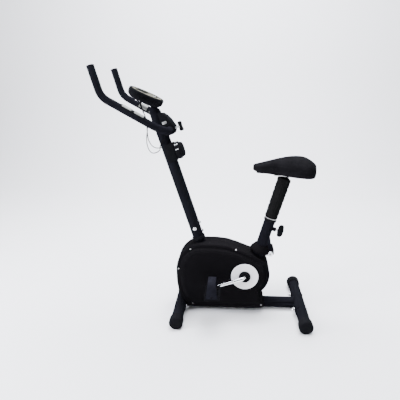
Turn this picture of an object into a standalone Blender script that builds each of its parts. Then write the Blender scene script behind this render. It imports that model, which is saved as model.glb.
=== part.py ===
"""Compact upright exercise bike, modelled as the pieces it is assembled from.

Metres, +Z up.  +X runs to the rear of the bike and -Y is the rider's left.  The
assembly is worked out from the middle of the wheelbase and is moved at the end so
that the box around it stands centred on the origin.
"""
import math

import bmesh
import bpy
from mathutils import Matrix, Vector

# ------------------------------------------------------------------ fits
GAP = 0.0003              # between pieces that touch
SLIDE_FIT = 0.0004        # radial play of a tube in a tube
HOLE_FIT = 0.0005         # radial play of a screw or pin in its hole
CASING_FIT = 0.0015       # casing opening around a tube

# ------------------------------------------------------------------ base
STABILISER_SPAN = 0.430   # over the end caps
WHEELBASE = 0.556         # between the two stabiliser axes
TUBE_D = 0.0508
TUBE_WALL = 0.0016
CAP_D = 0.0614
CAP_LENGTH = 0.044
CAP_WALL = 0.0030
CAP_FLAT = 0.0008         # how much of the cap is flattened where it stands
SADDLE_LENGTH = 0.170     # half pipe that seats a stabiliser on the main tube
SADDLE_WALL = 0.0030
SADDLE_ARC = math.radians(125)
BASE_BOLT_Y = 0.066
BASE_BOLT_D = 0.008
BASE_NUT_D = 0.017

# ------------------------------------------------------------------ handlebar post
POST_BASE_X = -0.090      # where its axis meets the main tube's axis
POST_LEAN = math.radians(17.5)
POST_D = 0.050
POST_WALL = 0.0018
POST_FOOT = 0.345         # along the axis from the main tube's axis
POST_LENGTH = 0.579
STUB_OVERLAP = 0.095      # how far the stub reaches up inside the post
STUB_WALL = 0.0022
COLLAR_HEIGHT = 0.016
COLLAR_D = 0.058
POST_SCREW_D = 0.008
POST_SCREW_HEAD_D = 0.014
POST_SCREW_LENGTH = 0.010
REAR_SCREWS = (0.020, 0.060)      # above the post's foot
SIDE_SCREW = 0.042

# ------------------------------------------------------------------ seat tube
SEAT_LEAN = math.radians(16.4)
SEAT_TUBE_TOP_X = 0.1295
SEAT_TUBE_TOP_Z = 0.436
SEAT_TUBE_D = 0.050
SEAT_TUBE_WALL = 0.0020
SEAT_POST_D = 0.038
SEAT_POST_WALL = 0.0020
SEAT_POST_DEPTH = 0.185   # below the top of the seat tube, saddle at its lowest
SEAT_POST_RISE = 0.2205   # above it
SEAT_COLLAR_D = 0.0565
SEAT_COLLAR_HEIGHT = 0.012
SEAT_COLLAR_SPIGOT = 0.040
SLEEVE_D = 0.0590
SLEEVE_START = 0.020
SLEEVE_LENGTH = 0.182
INDEX_HOLES = 7
INDEX_PITCH = 0.023
INDEX_HOLE_D = 0.010
POP_PIN_DROP = 0.034      # below the top of the seat tube
POP_PIN_D = 0.0085
POP_BOSS_D = 0.019
POP_BOSS_LENGTH = 0.014
POP_NECK = 0.011
POP_KNOB_D = 0.058
POP_KNOB_LENGTH = 0.020
POP_KNOB_LOBES = 6

# ------------------------------------------------------------------ saddle
SADDLE_TILT = math.radians(3.5)
SEAT_LENGTH = 0.268
SEAT_WIDTH = 0.212
SEAT_NOSE_WIDTH = 0.062
SEAT_PAD_HEIGHT = 0.080
SEAT_NOSE_HEIGHT = 0.034
SEAT_BASE_HEIGHT = 0.014
SEAT_BACK_REACH = 0.1233   # from the seat post's axis to the back of the pad

# ------------------------------------------------------------------ drive
AXLE_X = 0.0199           # crank axle
AXLE_Z = 0.1924
SHELL_D = 0.045
SHELL_LENGTH = 0.050
SHELL_WALL = 0.0035
CRANK_LENGTH = 0.132
CRANK_ANGLE = math.radians(16.5)  # left arm, below the horizontal, to the front
CRANK_AXLE_D = 0.020
CRANK_ARM_D = 0.0155
CRANK_BEND_Y = 0.091
CRANK_EYE_Y = 0.102
CRANK_EYE_D = 0.025
CRANK_EYE_WIDTH = 0.0165
DISC_D = 0.1220
DISC_Y = 0.0715
DISC_WIDTH = 0.0045
HUB_D = 0.052
HUB_WIDTH = 0.009
DRIVE_PULLEY_D = 0.170
PULLEY_WIDTH = 0.0070
PULLEY_Y = 0.0275
FLYWHEEL_D = 0.200
FLYWHEEL_WIDTH = 0.013
FLYWHEEL_Y = 0.037
FLYWHEEL_Z = 0.180
FLYWHEEL_BOSS_D = 0.024
SMALL_PULLEY_D = 0.034
FLYWHEEL_AXLE_D = 0.012
BELT_THICKNESS = 0.0022
BRACKET_PLATE = 0.0030
BRACKET_Y = 0.0235        # inner face of each flywheel plate
BRAKE_GAP = 0.004         # air gap between flywheel rim and magnets
BRAKE_DEPTH = 0.012
BRAKE_START = math.radians(52)
BRAKE_PIVOT = math.radians(112)
BRAKE_PIN_D = 0.008

# ------------------------------------------------------------------ pedals
PEDAL_FRONT = 0.046       # of the spindle
PEDAL_BACK = 0.020
PEDAL_WIDTH = 0.088
PEDAL_HEIGHT = 0.024
PEDAL_Y = 0.1165
SPINDLE_D = 0.0105
STRAP_TOP = 0.066         # above the spindle
STRAP_THICKNESS = 0.0035
STRAP_WIDTH_TOP = 0.034
STRAP_WIDTH_FOOT = 0.052
STRAP_OFFSET = 0.015      # in front of the spindle

# ------------------------------------------------------------------ casing
CASING_HALF = 0.055       # to the outer rim
CASING_PANEL_HALF = 0.070
CASING_WALL = 0.0028
CASING_BOTTOM = 0.022
CASING_TOP = 0.335
CASING_FRONT = -0.292
CASING_REAR_R = 0.113     # around the crank axle
CASING_HEEL = 0.094       # from the crank axle back to the foot of the casing
TOE_REACH = 0.070         # the front's curve back to the floor
TOE_RISE = 0.156
TOE_SIN = math.sin(math.radians(78))

# ------------------------------------------------------------------ handlebar
BAR_D = 0.0254
BAR_WALL = 0.0018
BAR_HALF = 0.1515         # from the middle to each arm
BAR_SLOPE = math.radians(29.5)
BAR_ARM = 0.282           # along the slope, from the cross piece to the elbow
BAR_HORN = 0.1235
BAR_HORN_LEAN = math.radians(15.5)
BAR_ELBOW_R = 0.070
BAR_CORNER_R = 0.078
CLAMP_AT = 0.8395         # along the post axis
CLAMP_BASE = 0.0035
CLAMP_HALF = 0.022
CLAMP_WALL = 0.0035
SENSOR_FROM = 0.092       # along the arm, from the cross piece
SENSOR_LENGTH = 0.108
SENSOR_WALL = 0.0035
COVER_HALF = 0.034
COVER_WALL = 0.0025
KNOB_SCREW_D = 0.008
T_BAR_LENGTH = 0.042
T_BAR_D = 0.016

# ------------------------------------------------------------------ tension control
TENSION_AT = 0.745        # along the post axis
HOUSING_HALF_HEIGHT = 0.039
HOUSING_HALF_WIDTH = 0.029
HOUSING_REACH = 0.033     # from the post axis
HOUSING_WRAP = 0.010      # how far it grips round the post
TENSION_KNOB_D = 0.076
TENSION_KNOB_LENGTH = 0.033
TENSION_SHAFT_D = 0.010
CABLE_D = 0.005

# ------------------------------------------------------------------ console
CONSOLE_D = 0.154
CONSOLE_TILT = math.radians(25.0)
CONSOLE_X = -0.399        # middle of its face
CONSOLE_Z = 0.9935
CONSOLE_DEPTH = 0.039
BEZEL_DEPTH = 0.013
CONSOLE_WALL = 0.0025
LENS_LENGTH = 0.050
LENS_WIDTH = 0.074
LENS_OFFSET = -0.022
LENS_THICKNESS = 0.0035
BUTTON_D = 0.018
BUTTON_OFFSET = 0.040
LEAD_D = 0.0040

AXIS_Z = CAP_D / 2 - CAP_FLAT
TUBE_R = TUBE_D / 2
POST_R = POST_D / 2
BAR_R = BAR_D / 2


# ------------------------------------------------------------------ modelling helpers
def paint(name, colour, roughness, metallic=0.0):
    """A plain Principled material."""
    mat = bpy.data.materials.new(name)
    mat.use_nodes = True
    shader = mat.node_tree.nodes["Principled BSDF"]
    shader.inputs["Base Color"].default_value = (*colour, 1.0)
    shader.inputs["Roughness"].default_value = roughness
    shader.inputs["Metallic"].default_value = metallic
    return mat


def empty(name, parent=None, location=(0, 0, 0), turn_y=0.0):
    """A frame to parent pieces to; turn_y tips its Z axis towards +X."""
    obj = bpy.data.objects.new(name, None)
    bpy.context.collection.objects.link(obj)
    obj.parent = parent
    obj.location = location
    obj.rotation_euler = (0.0, turn_y, 0.0)
    return obj


def piece(name, bm, mat, parent, smooth=40):
    """One named sub-part from a bmesh in its parent's own axes."""
    bmesh.ops.remove_doubles(bm, verts=bm.verts, dist=1e-6)
    bmesh.ops.recalc_face_normals(bm, faces=bm.faces)
    mesh = bpy.data.meshes.new(name)
    bm.to_mesh(mesh)
    bm.free()
    mesh.shade_smooth()
    mesh.set_sharp_from_angle(angle=math.radians(smooth))
    mesh.materials.append(mat)
    obj = bpy.data.objects.new(name, mesh)
    bpy.context.collection.objects.link(obj)
    obj.parent = parent
    return obj


def combine(bm, tools, operation):
    """Boolean of a bmesh with a list of bmeshes, all in the same axes."""
    base = bpy.data.meshes.new("base")
    bmesh.ops.recalc_face_normals(bm, faces=bm.faces)
    bm.to_mesh(base)
    bm.free()
    body = bpy.data.objects.new("base", base)
    bpy.context.collection.objects.link(body)
    helpers = []
    for tool in tools:
        bmesh.ops.recalc_face_normals(tool, faces=tool.faces)
        mesh = bpy.data.meshes.new("tool")
        tool.to_mesh(mesh)
        tool.free()
        helper = bpy.data.objects.new("tool", mesh)
        bpy.context.collection.objects.link(helper)
        step = body.modifiers.new("step", "BOOLEAN")
        step.object = helper
        step.operation = operation
        step.solver = "EXACT"
        helpers.append(helper)
    bpy.context.view_layer.update()
    result = bmesh.new()
    result.from_object(body, bpy.context.evaluated_depsgraph_get())
    for obj in [body] + helpers:
        bpy.data.objects.remove(obj)
    return result


def cut(bm, *tools):
    return combine(bm, tools, "DIFFERENCE")


def weld(bm, *tools):
    return combine(bm, tools, "UNION")


def moved(bm, at=(0, 0, 0), turn=None):
    """Turns a bmesh by a matrix and then moves it."""
    if turn is not None:
        bmesh.ops.transform(bm, matrix=turn.to_4x4(), verts=bm.verts)
    bmesh.ops.translate(bm, vec=Vector(at), verts=bm.verts)
    return bm


def along(direction, hint=(0, 1, 0)):
    """A rotation that lays local Z along a direction, with local Y near hint."""
    z = Vector(direction).normalized()
    y = Vector(hint) - z * z.dot(Vector(hint))
    if y.length < 1e-6:
        y = Vector((1, 0, 0)) - z * z.x
    y.normalize()
    x = y.cross(z)
    return Matrix((x, y, z)).transposed()


X_AXIS = along((1, 0, 0))
Y_AXIS = along((0, 1, 0), (0, 0, 1))
DOWN_Y = along((0, -1, 0), (0, 0, 1))


def lathe(profile, segments=18, at=(0, 0, 0), turn=None, hollow=False):
    """Turns (radius, height) points round Z; hollow closes the profile on itself."""
    bm = bmesh.new()
    rings = []
    for radius, height in profile:
        if radius < 1e-7:
            rings.append([bm.verts.new((0, 0, height))])
            continue
        ring = []
        for k in range(segments):
            a = 2 * math.pi * k / segments
            ring.append(bm.verts.new((radius * math.cos(a), radius * math.sin(a), height)))
        rings.append(ring)
    pairs = list(zip(rings, rings[1:]))
    if hollow:
        pairs.append((rings[-1], rings[0]))
    for low, high in pairs:
        for k in range(segments):
            n = (k + 1) % segments
            corners = [low[k % len(low)], low[n % len(low)], high[n % len(high)], high[k % len(high)]]
            corners = list(dict.fromkeys(corners))
            if len(corners) > 2:
                bm.faces.new(corners)
    if not hollow:
        for ring in (rings[0], rings[-1]):
            if len(ring) > 2:
                bm.faces.new(ring)
    return moved(bm, at, turn)


def rod(radius, start, end, segments=18, at=(0, 0, 0), turn=None):
    return lathe([(radius, start), (radius, end)], segments, at, turn)


def pipe(radius, wall, start, end, segments=18, at=(0, 0, 0), turn=None):
    inner = radius - wall
    profile = [(radius, start), (radius, end), (inner, end), (inner, start)]
    return lathe(profile, segments, at, turn, hollow=True)


def block(size, at=(0, 0, 0), turn=None):
    bm = bmesh.new()
    bmesh.ops.create_cube(bm, size=1.0)
    bmesh.ops.scale(bm, vec=Vector(size), verts=bm.verts)
    return moved(bm, at, turn)


def prism(outline, low, high, at=(0, 0, 0)):
    """An outline in the XZ plane, carried along Y from low to high."""
    bm = bmesh.new()
    near = [bm.verts.new((x, low, z)) for x, z in outline]
    far = [bm.verts.new((x, high, z)) for x, z in outline]
    bm.faces.new(near)
    bm.faces.new(far[::-1])
    count = len(outline)
    for k in range(count):
        n = (k + 1) % count
        bm.faces.new((near[k], near[n], far[n], far[k]))
    return moved(bm, at)


def stacked(rings, closed_ends=True):
    """Skins a list of rings, each a list of points with the same count."""
    bm = bmesh.new()
    loops = [[bm.verts.new(p) for p in ring] for ring in rings]
    count = len(loops[0])
    for low, high in zip(loops, loops[1:]):
        for k in range(count):
            n = (k + 1) % count
            bm.faces.new((low[k], low[n], high[n], high[k]))
    if closed_ends:
        bm.faces.new(loops[0])
        bm.faces.new(loops[-1])
    return bm


def sweep(path, radius, sides=16, wall=0.0):
    """A round bar or pipe along points that lie in one smooth line."""
    points = [Vector(p) for p in path]
    rings = {radius: [], radius - wall: []}
    normal = None
    for k, point in enumerate(points):
        ahead = points[min(k + 1, len(points) - 1)] - points[max(k - 1, 0)]
        ahead.normalize()
        if normal is None:
            normal = Vector((0, 1, 0)) if abs(ahead.y) < 0.9 else Vector((0, 0, 1))
        normal = (normal - ahead * ahead.dot(normal)).normalized()
        side = ahead.cross(normal)
        for r, store in rings.items():
            ring = []
            for s in range(sides):
                a = 2 * math.pi * s / sides
                ring.append(point + normal * (r * math.cos(a)) + side * (r * math.sin(a)))
            store.append(ring)
    if wall == 0.0:
        return stacked(rings[radius])
    outer = rings[radius]
    inner = rings[radius - wall]
    return stacked(outer + inner[::-1] + [outer[0]], closed_ends=False)


def rounded(points, radii, steps=6):
    """A line through corner points, each corner replaced by an arc of its radius."""
    corners = [Vector(p) for p in points]
    line = [corners[0]]
    for k in range(1, len(corners) - 1):
        before = (corners[k - 1] - corners[k]).normalized()
        after = (corners[k + 1] - corners[k]).normalized()
        half = before.angle(after) / 2
        reach = radii[k - 1] / math.tan(half)
        centre = corners[k] + (before + after).normalized() * (radii[k - 1] / math.sin(half))
        start = corners[k] + before * reach - centre
        end = corners[k] + after * reach - centre
        turn = start.angle(end)
        for s in range(steps + 1):
            t = s / steps
            blend = start * math.sin((1 - t) * turn) + end * math.sin(t * turn)
            line.append(centre + blend / math.sin(turn))
    line.append(corners[-1])
    return line


def smooth_line(points, step):
    """Points a step apart on a Catmull-Rom curve through the given ones."""
    ctrl = [Vector(p) for p in points]
    ctrl = [ctrl[0] * 2 - ctrl[1]] + ctrl + [ctrl[-1] * 2 - ctrl[-2]]
    line = []
    for a, b, c, d in zip(ctrl, ctrl[1:], ctrl[2:], ctrl[3:]):
        count = max(2, round((c - b).length / step))
        for s in range(count):
            t = s / count
            line.append(0.5 * (2 * b + (c - a) * t + (2 * a - 5 * b + 4 * c - d) * t * t
                               + (3 * b - a - 3 * c + d) * t ** 3))
    line.append(ctrl[-2])
    return line


def cord(name, points, diameter, mat, parent):
    """A lead as a curve with a round bevel and filled ends."""
    line = smooth_line(points, max(diameter * 2.6, 0.009))
    curve = bpy.data.curves.new(name, "CURVE")
    curve.dimensions = "3D"
    curve.bevel_depth = diameter / 2
    curve.bevel_resolution = 2
    curve.use_fill_caps = True
    spline = curve.splines.new("POLY")
    spline.points.add(len(line) - 1)
    for target, point in zip(spline.points, line):
        target.co = (*point, 1.0)
    curve.materials.append(mat)
    obj = bpy.data.objects.new(name, curve)
    bpy.context.collection.objects.link(obj)
    obj.parent = parent
    return obj


for old in list(bpy.data.objects):
    bpy.data.objects.remove(old)

BLACK_PAINT = paint("black_paint", (0.020, 0.020, 0.022), 0.32)
BLACK_PLASTIC = paint("black_plastic", (0.030, 0.030, 0.032), 0.50)
GREY_PLASTIC = paint("grey_plastic", (0.42, 0.41, 0.38), 0.42)
WHITE_PLASTIC = paint("white_plastic", (0.85, 0.83, 0.82), 0.35)
RUBBER = paint("rubber", (0.025, 0.025, 0.026), 0.75)
VINYL = paint("vinyl", (0.028, 0.027, 0.030), 0.45)
CHROME = paint("chrome", (0.80, 0.80, 0.80), 0.12, 1.0)
STEEL = paint("steel", (0.55, 0.55, 0.55), 0.35, 1.0)
CAST_IRON = paint("cast_iron", (0.10, 0.10, 0.10), 0.55, 1.0)
GLASS = paint("dark_lens", (0.01, 0.012, 0.012), 0.08)

root = empty("bike")


# ------------------------------------------------------------------ base
def stabiliser(x):
    """A straight pipe across the bike."""
    half = STABILISER_SPAN / 2 - CAP_WALL - GAP
    return pipe(TUBE_R, TUBE_WALL, -half, half, 20, (x, 0, AXIS_Z), Y_AXIS)


def bolt_hole(x, y, facing, fit):
    """The run of a base bolt through a stabiliser, facing the middle of the bike."""
    turn = X_AXIS if facing > 0 else along((-1, 0, 0))
    reach = TUBE_R + SADDLE_WALL + 0.006
    return rod(BASE_BOLT_D / 2 + fit, -reach, reach, 12, (x, y, AXIS_Z), turn)


def base_bolt(x, y, facing):
    """Carriage bolt with its domed head outside and its cap nut towards the middle."""
    turn = X_AXIS if facing > 0 else along((-1, 0, 0))
    r = BASE_BOLT_D / 2
    nut = BASE_NUT_D / 2
    head = -TUBE_R - GAP
    seat = TUBE_R + SADDLE_WALL + 2 * GAP
    profile = [(0, head - 0.0045), (nut * 0.7, head - 0.0035), (nut, head), (r, head), (r, seat)]
    profile += [(nut, seat), (nut, seat + 0.002), (nut * 0.8, seat + 0.003)]
    profile += [(nut * 0.8, seat + 0.007), (nut * 0.5, seat + 0.0115), (0, seat + 0.013)]
    return lathe(profile, 8, (x, y, AXIS_Z), turn)


def end_cap(x, side):
    """A moulded cap over a stabiliser's end, flattened where it stands."""
    end = STABILISER_SPAN / 2
    lip = end - CAP_LENGTH
    r = CAP_D / 2
    bore = TUBE_R + SLIDE_FIT
    profile = [(0, end), (r - 0.006, end), (r - 0.0015, end - 0.0025), (r, end - 0.007)]
    profile += [(r, end - 0.018), (r - 0.002, lip), (bore, lip), (bore, end - CAP_WALL)]
    profile += [(0, end - CAP_WALL)]
    turn = Y_AXIS if side > 0 else DOWN_Y
    cap = lathe(profile, 20, (x, 0, AXIS_Z), turn)
    below = block((CAP_D * 1.5, STABILISER_SPAN * 1.2, CAP_D), (x, 0, -CAP_D / 2))
    return cut(cap, below)


ends = {"front": -WHEELBASE / 2, "rear": WHEELBASE / 2}
sides = {"left": -1, "right": 1}
for end_name, end_x in ends.items():
    facing = 1 if end_x < 0 else -1
    bolts = [bolt_hole(end_x, s * BASE_BOLT_Y, facing, HOLE_FIT) for s in (-1, 1)]
    piece(end_name + "_stabiliser", cut(stabiliser(end_x), *bolts), BLACK_PAINT, root)
    for side_name, side in sides.items():
        piece(f"{end_name}_{side_name}_cap", end_cap(end_x, side), BLACK_PLASTIC, root)
        piece(f"{end_name}_{side_name}_bolt", base_bolt(end_x, side * BASE_BOLT_Y, facing), CHROME, root)


def half_pipe(x, facing):
    """The curved plate, welded to the main tube, that a stabiliser is bolted into."""
    inner = TUBE_R + GAP
    outer = inner + SADDLE_WALL - GAP
    steps = 10
    outline = []
    for r, run in ((inner, range(steps + 1)), (outer, range(steps, -1, -1))):
        for k in run:
            a = SADDLE_ARC * (k / steps - 0.5)
            outline.append((facing * r * math.cos(a), r * math.sin(a)))
    return prism(outline, -SADDLE_LENGTH / 2, SADDLE_LENGTH / 2, (x, 0, AXIS_Z))


def main_tube():
    """The spine, closed at each end by the half pipe of a stabiliser."""
    reach = WHEELBASE / 2 - TUBE_R - GAP - SADDLE_WALL / 2
    tube = pipe(TUBE_R - GAP, TUBE_WALL, -reach, reach, 20, (0, 0, AXIS_Z), X_AXIS)
    plates = [half_pipe(-WHEELBASE / 2, 1), half_pipe(WHEELBASE / 2, -1)]
    vent = rod(0.004, -TUBE_D, 0, 8, (WHEELBASE / 6, 0, AXIS_Z))
    holes = []
    for x in ends.values():
        for y in (-BASE_BOLT_Y, BASE_BOLT_Y):
            holes.append(bolt_hole(x, y, 1, HOLE_FIT))
    return cut(weld(tube, *plates), vent, *holes)


piece("main_tube", main_tube(), BLACK_PAINT, root)

# ------------------------------------------------------------------ post and stub
post_axis = empty("post_axis", root, (POST_BASE_X, 0, AXIS_Z), -POST_LEAN)
POST_TOP = POST_FOOT + POST_LENGTH
STUB_R = POST_R - POST_WALL - SLIDE_FIT
CABLE_PORT = 0.205        # along the stub, where the cable leaves it


def post_screw_holes(fit):
    """Shanks of the three rows of screws that hold the post on its stub."""
    r = POST_SCREW_D / 2 + fit
    tools = []
    for height in REAR_SCREWS:
        tools.append(rod(r, POST_R / 2, POST_R * 1.4, 12, (0, 0, POST_FOOT + height), X_AXIS))
    for turn in (Y_AXIS, DOWN_Y):
        tools.append(rod(r, POST_R / 2, POST_R * 1.4, 14, (0, 0, POST_FOOT + SIDE_SCREW), turn))
    return tools


def post_stub():
    """The short tube on the spine that the post slips over."""
    top = POST_FOOT + STUB_OVERLAP
    half_facet = Matrix.Rotation(math.pi / 20, 3, "Z")
    tube = pipe(STUB_R, STUB_WALL, 0, top, 20, turn=half_facet)
    back = Matrix.Rotation(POST_LEAN, 3, "Y")
    spine = rod(TUBE_R + GAP, -TUBE_D * 2, TUBE_D * 2, 24, (0, 0, 0), back @ X_AXIS)
    port = rod(CABLE_D / 2 + 0.006, 0, POST_D, 12, (0, 0, CABLE_PORT + 0.004), Y_AXIS)
    return cut(tube, spine, port, *post_screw_holes(HOLE_FIT))


def handlebar_post():
    """The long front tube."""
    tube = pipe(POST_R, POST_WALL, POST_FOOT, POST_TOP, 20)
    hole = rod(CABLE_D / 2 + 0.0015, 0, POST_D, 12, (0, 0, TENSION_AT), X_AXIS)
    return cut(tube, hole, *post_screw_holes(HOLE_FIT))


def post_screw(turn, height):
    """A screw with a washer face and a domed head, into the stub's wall."""
    r = POST_SCREW_D / 2
    head = POST_SCREW_HEAD_D / 2
    seat = POST_R + GAP
    profile = [(0, seat - POST_SCREW_LENGTH), (r, seat - POST_SCREW_LENGTH), (r, seat)]
    profile += [(head * 1.2, seat), (head * 1.2, seat + 0.0015), (head, seat + 0.0015)]
    profile += [(head, seat + 0.005), (head * 0.6, seat + 0.0075), (0, seat + 0.008)]
    return lathe(profile, 8, (0, 0, POST_FOOT + height), turn)


piece("post_stub", post_stub(), BLACK_PAINT, post_axis)
piece("handlebar_post", handlebar_post(), BLACK_PAINT, post_axis)
piece("post_lower_screw", post_screw(X_AXIS, REAR_SCREWS[0]), CHROME, post_axis)
piece("post_upper_screw", post_screw(X_AXIS, REAR_SCREWS[1]), CHROME, post_axis)
piece("post_left_screw", post_screw(DOWN_Y, SIDE_SCREW), CHROME, post_axis)
piece("post_right_screw", post_screw(Y_AXIS, SIDE_SCREW), CHROME, post_axis)
collar_top = POST_FOOT - GAP
collar_foot = collar_top - COLLAR_HEIGHT
collar = lathe([(STUB_R + SLIDE_FIT, collar_foot), (COLLAR_D / 2, collar_foot),
                (COLLAR_D / 2, collar_foot + 0.006), (POST_R + 0.001, collar_top),
                (STUB_R + SLIDE_FIT, collar_top)], 20, hollow=True)
piece("post_collar", collar, BLACK_PLASTIC, post_axis)

# ------------------------------------------------------------------ seat tube and bottom bracket
seat_axis = empty("seat_axis", root, (SEAT_TUBE_TOP_X, 0, SEAT_TUBE_TOP_Z), SEAT_LEAN)
SEAT_R = SEAT_TUBE_D / 2
SEAT_BORE = SEAT_R - SEAT_TUBE_WALL
SEAT_POST_R = SEAT_POST_D / 2
seat_back = Matrix.Rotation(-SEAT_LEAN, 3, "Y")


def in_seat_axes(x, z):
    """A point of the bike's own middle plane in the seat tube's axes."""
    return seat_back @ Vector((x - SEAT_TUBE_TOP_X, 0, z - SEAT_TUBE_TOP_Z))


def seat_tube():
    """The rear tube, with the pop pin's boss, notched round the crank's shell."""
    length = (SEAT_TUBE_TOP_Z - AXIS_Z) / math.cos(SEAT_LEAN)
    tube = pipe(SEAT_R, SEAT_TUBE_WALL, -length, 0, 20)
    start = SEAT_R - SEAT_TUBE_WALL / 2
    boss = rod(POP_BOSS_D / 2, start, SEAT_R + POP_BOSS_LENGTH, 16, (0, 0, -POP_PIN_DROP), X_AXIS)
    drill = rod(POP_PIN_D / 2 + HOLE_FIT, 0, POST_D, 12, (0, 0, -POP_PIN_DROP), X_AXIS)
    shell = rod(SHELL_D / 2 + GAP, -POST_D, POST_D, 24, in_seat_axes(AXLE_X, AXLE_Z), Y_AXIS)
    foot = (0, 0, -length)
    spine = rod(TUBE_R + GAP, -TUBE_D * 2, TUBE_D * 2, 24, foot, seat_back @ X_AXIS)
    return cut(weld(tube, boss), drill, shell, spine)


def seat_collar():
    """The plastic bush that lines the top of the seat tube."""
    bore = SEAT_POST_R + SLIDE_FIT
    spigot = SEAT_BORE - GAP
    profile = [(bore, -SEAT_COLLAR_SPIGOT), (spigot, -SEAT_COLLAR_SPIGOT), (spigot, GAP)]
    profile += [(SEAT_COLLAR_D / 2, GAP), (SEAT_COLLAR_D / 2, SEAT_COLLAR_HEIGHT - 0.003)]
    profile += [(SEAT_COLLAR_D / 2 - 0.003, SEAT_COLLAR_HEIGHT), (bore, SEAT_COLLAR_HEIGHT)]
    sleeve = lathe(profile, 20, hollow=True)
    pin = rod(POP_PIN_D / 2 + HOLE_FIT, 0, POST_D, 12, (0, 0, -POP_PIN_DROP), X_AXIS)
    return cut(sleeve, pin)


piece("seat_tube", seat_tube(), BLACK_PAINT, seat_axis)
piece("seat_collar", seat_collar(), BLACK_PLASTIC, seat_axis)

crank_axis = empty("crank_axis", root, (AXLE_X, 0, AXLE_Z))
shell_half = SHELL_LENGTH / 2
piece("bottom_bracket_shell", pipe(SHELL_D / 2, SHELL_WALL, -shell_half, shell_half, 18, turn=Y_AXIS),
      STEEL, crank_axis)


def crank_bearing():
    """The sealed bearing cartridge between the shell and the crank's axle."""
    outer = SHELL_D / 2 - SHELL_WALL - GAP
    inner = CRANK_AXLE_D / 2 + GAP
    return pipe(outer, outer - inner, -shell_half, shell_half, 20, turn=Y_AXIS)


piece("crank_bearing", crank_bearing(), STEEL, crank_axis)


# ------------------------------------------------------------------ crank, discs and pedals
crank_spin = empty("crank_spin", crank_axis)


def arm_end(side):
    """Where a pedal's spindle crosses the crank's eye, from the crank axle."""
    return Vector((side * CRANK_LENGTH * math.cos(CRANK_ANGLE), side * CRANK_EYE_Y,
                   side * CRANK_LENGTH * math.sin(CRANK_ANGLE)))


def crank():
    """One bar: left arm, axle and right arm, with an eye at each end."""
    left = arm_end(-1)
    right = arm_end(1)
    corners = [left, (0, -CRANK_BEND_Y, 0), (0, CRANK_BEND_Y, 0), right]
    bar = sweep(rounded(corners, (0.017, 0.017), 5), CRANK_ARM_D / 2, 12)
    axle = rod(CRANK_AXLE_D / 2, -0.0705, 0.0705, 20, turn=Y_AXIS)
    eyes = []
    drills = []
    for end in (left, right):
        half = CRANK_EYE_WIDTH / 2
        eyes.append(rod(CRANK_EYE_D / 2, -half, half, 20, end, Y_AXIS))
        drills.append(rod(SPINDLE_D / 2 + HOLE_FIT, -half * 3, half * 3, 12, end, Y_AXIS))
    return cut(weld(bar, axle, *eyes), *drills)


def disc(side):
    """Flat moulded ring round the crank, with a raised hub that covers the crank's bend."""
    bore = CRANK_ARM_D / 2 + 0.0030
    start = DISC_Y
    end = DISC_Y + DISC_WIDTH
    r = DISC_D / 2
    hub = HUB_D / 2
    profile = [(bore, start), (r, start), (r, end - 0.0012), (r - 0.0015, end), (hub, end)]
    profile += [(hub - 0.001, end + 0.002), (hub - 0.004, start + HUB_WIDTH), (bore, start + HUB_WIDTH)]
    return lathe(profile, 28, turn=Y_AXIS if side > 0 else DOWN_Y, hollow=True)


piece("crank", crank(), CHROME, crank_spin)
for side_name, side in sides.items():
    piece(f"{side_name}_disc", disc(side), WHITE_PLASTIC, crank_spin)


def drive_pulley():
    """Large moulded pulley with a rim, a thin web and a hub on the axle."""
    r = DRIVE_PULLEY_D / 2
    start = PULLEY_Y
    end = PULLEY_Y + PULLEY_WIDTH
    web = (start + end) / 2
    bore = CRANK_AXLE_D / 2 + GAP
    profile = [(bore, start), (0.020, start), (0.020, web - 0.0015), (r - 0.010, web - 0.0015)]
    profile += [(r - 0.010, start), (r, start), (r, end), (r - 0.010, end)]
    profile += [(r - 0.010, web + 0.0015), (0.020, web + 0.0015), (0.020, end), (bore, end)]
    return lathe(profile, 26, turn=Y_AXIS, hollow=True)


piece("drive_pulley", drive_pulley(), BLACK_PLASTIC, crank_spin)


def pedal_body(side):
    """Platform with two tread bars along it and a bore for the spindle."""
    half = PEDAL_HEIGHT / 2
    outline = [(-PEDAL_FRONT, -half * 0.5), (-PEDAL_FRONT + 0.006, -half), (PEDAL_BACK - 0.006, -half),
               (PEDAL_BACK, -half * 0.5), (PEDAL_BACK, half * 0.5), (PEDAL_BACK - 0.006, half),
               (-PEDAL_FRONT + 0.006, half), (-PEDAL_FRONT, half * 0.5)]
    low, high = sorted((0, side * PEDAL_WIDTH))
    body = prism(outline, low, high)
    bore = rod(SPINDLE_D / 2 + SLIDE_FIT, -0.01, PEDAL_WIDTH - 0.010, 12,
               turn=Y_AXIS if side > 0 else DOWN_Y)
    middle = side * PEDAL_WIDTH / 2
    front = block((0.014, PEDAL_WIDTH * 0.66, PEDAL_HEIGHT * 2), (-PEDAL_FRONT * 0.58, middle, 0))
    return cut(body, bore, front)


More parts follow.
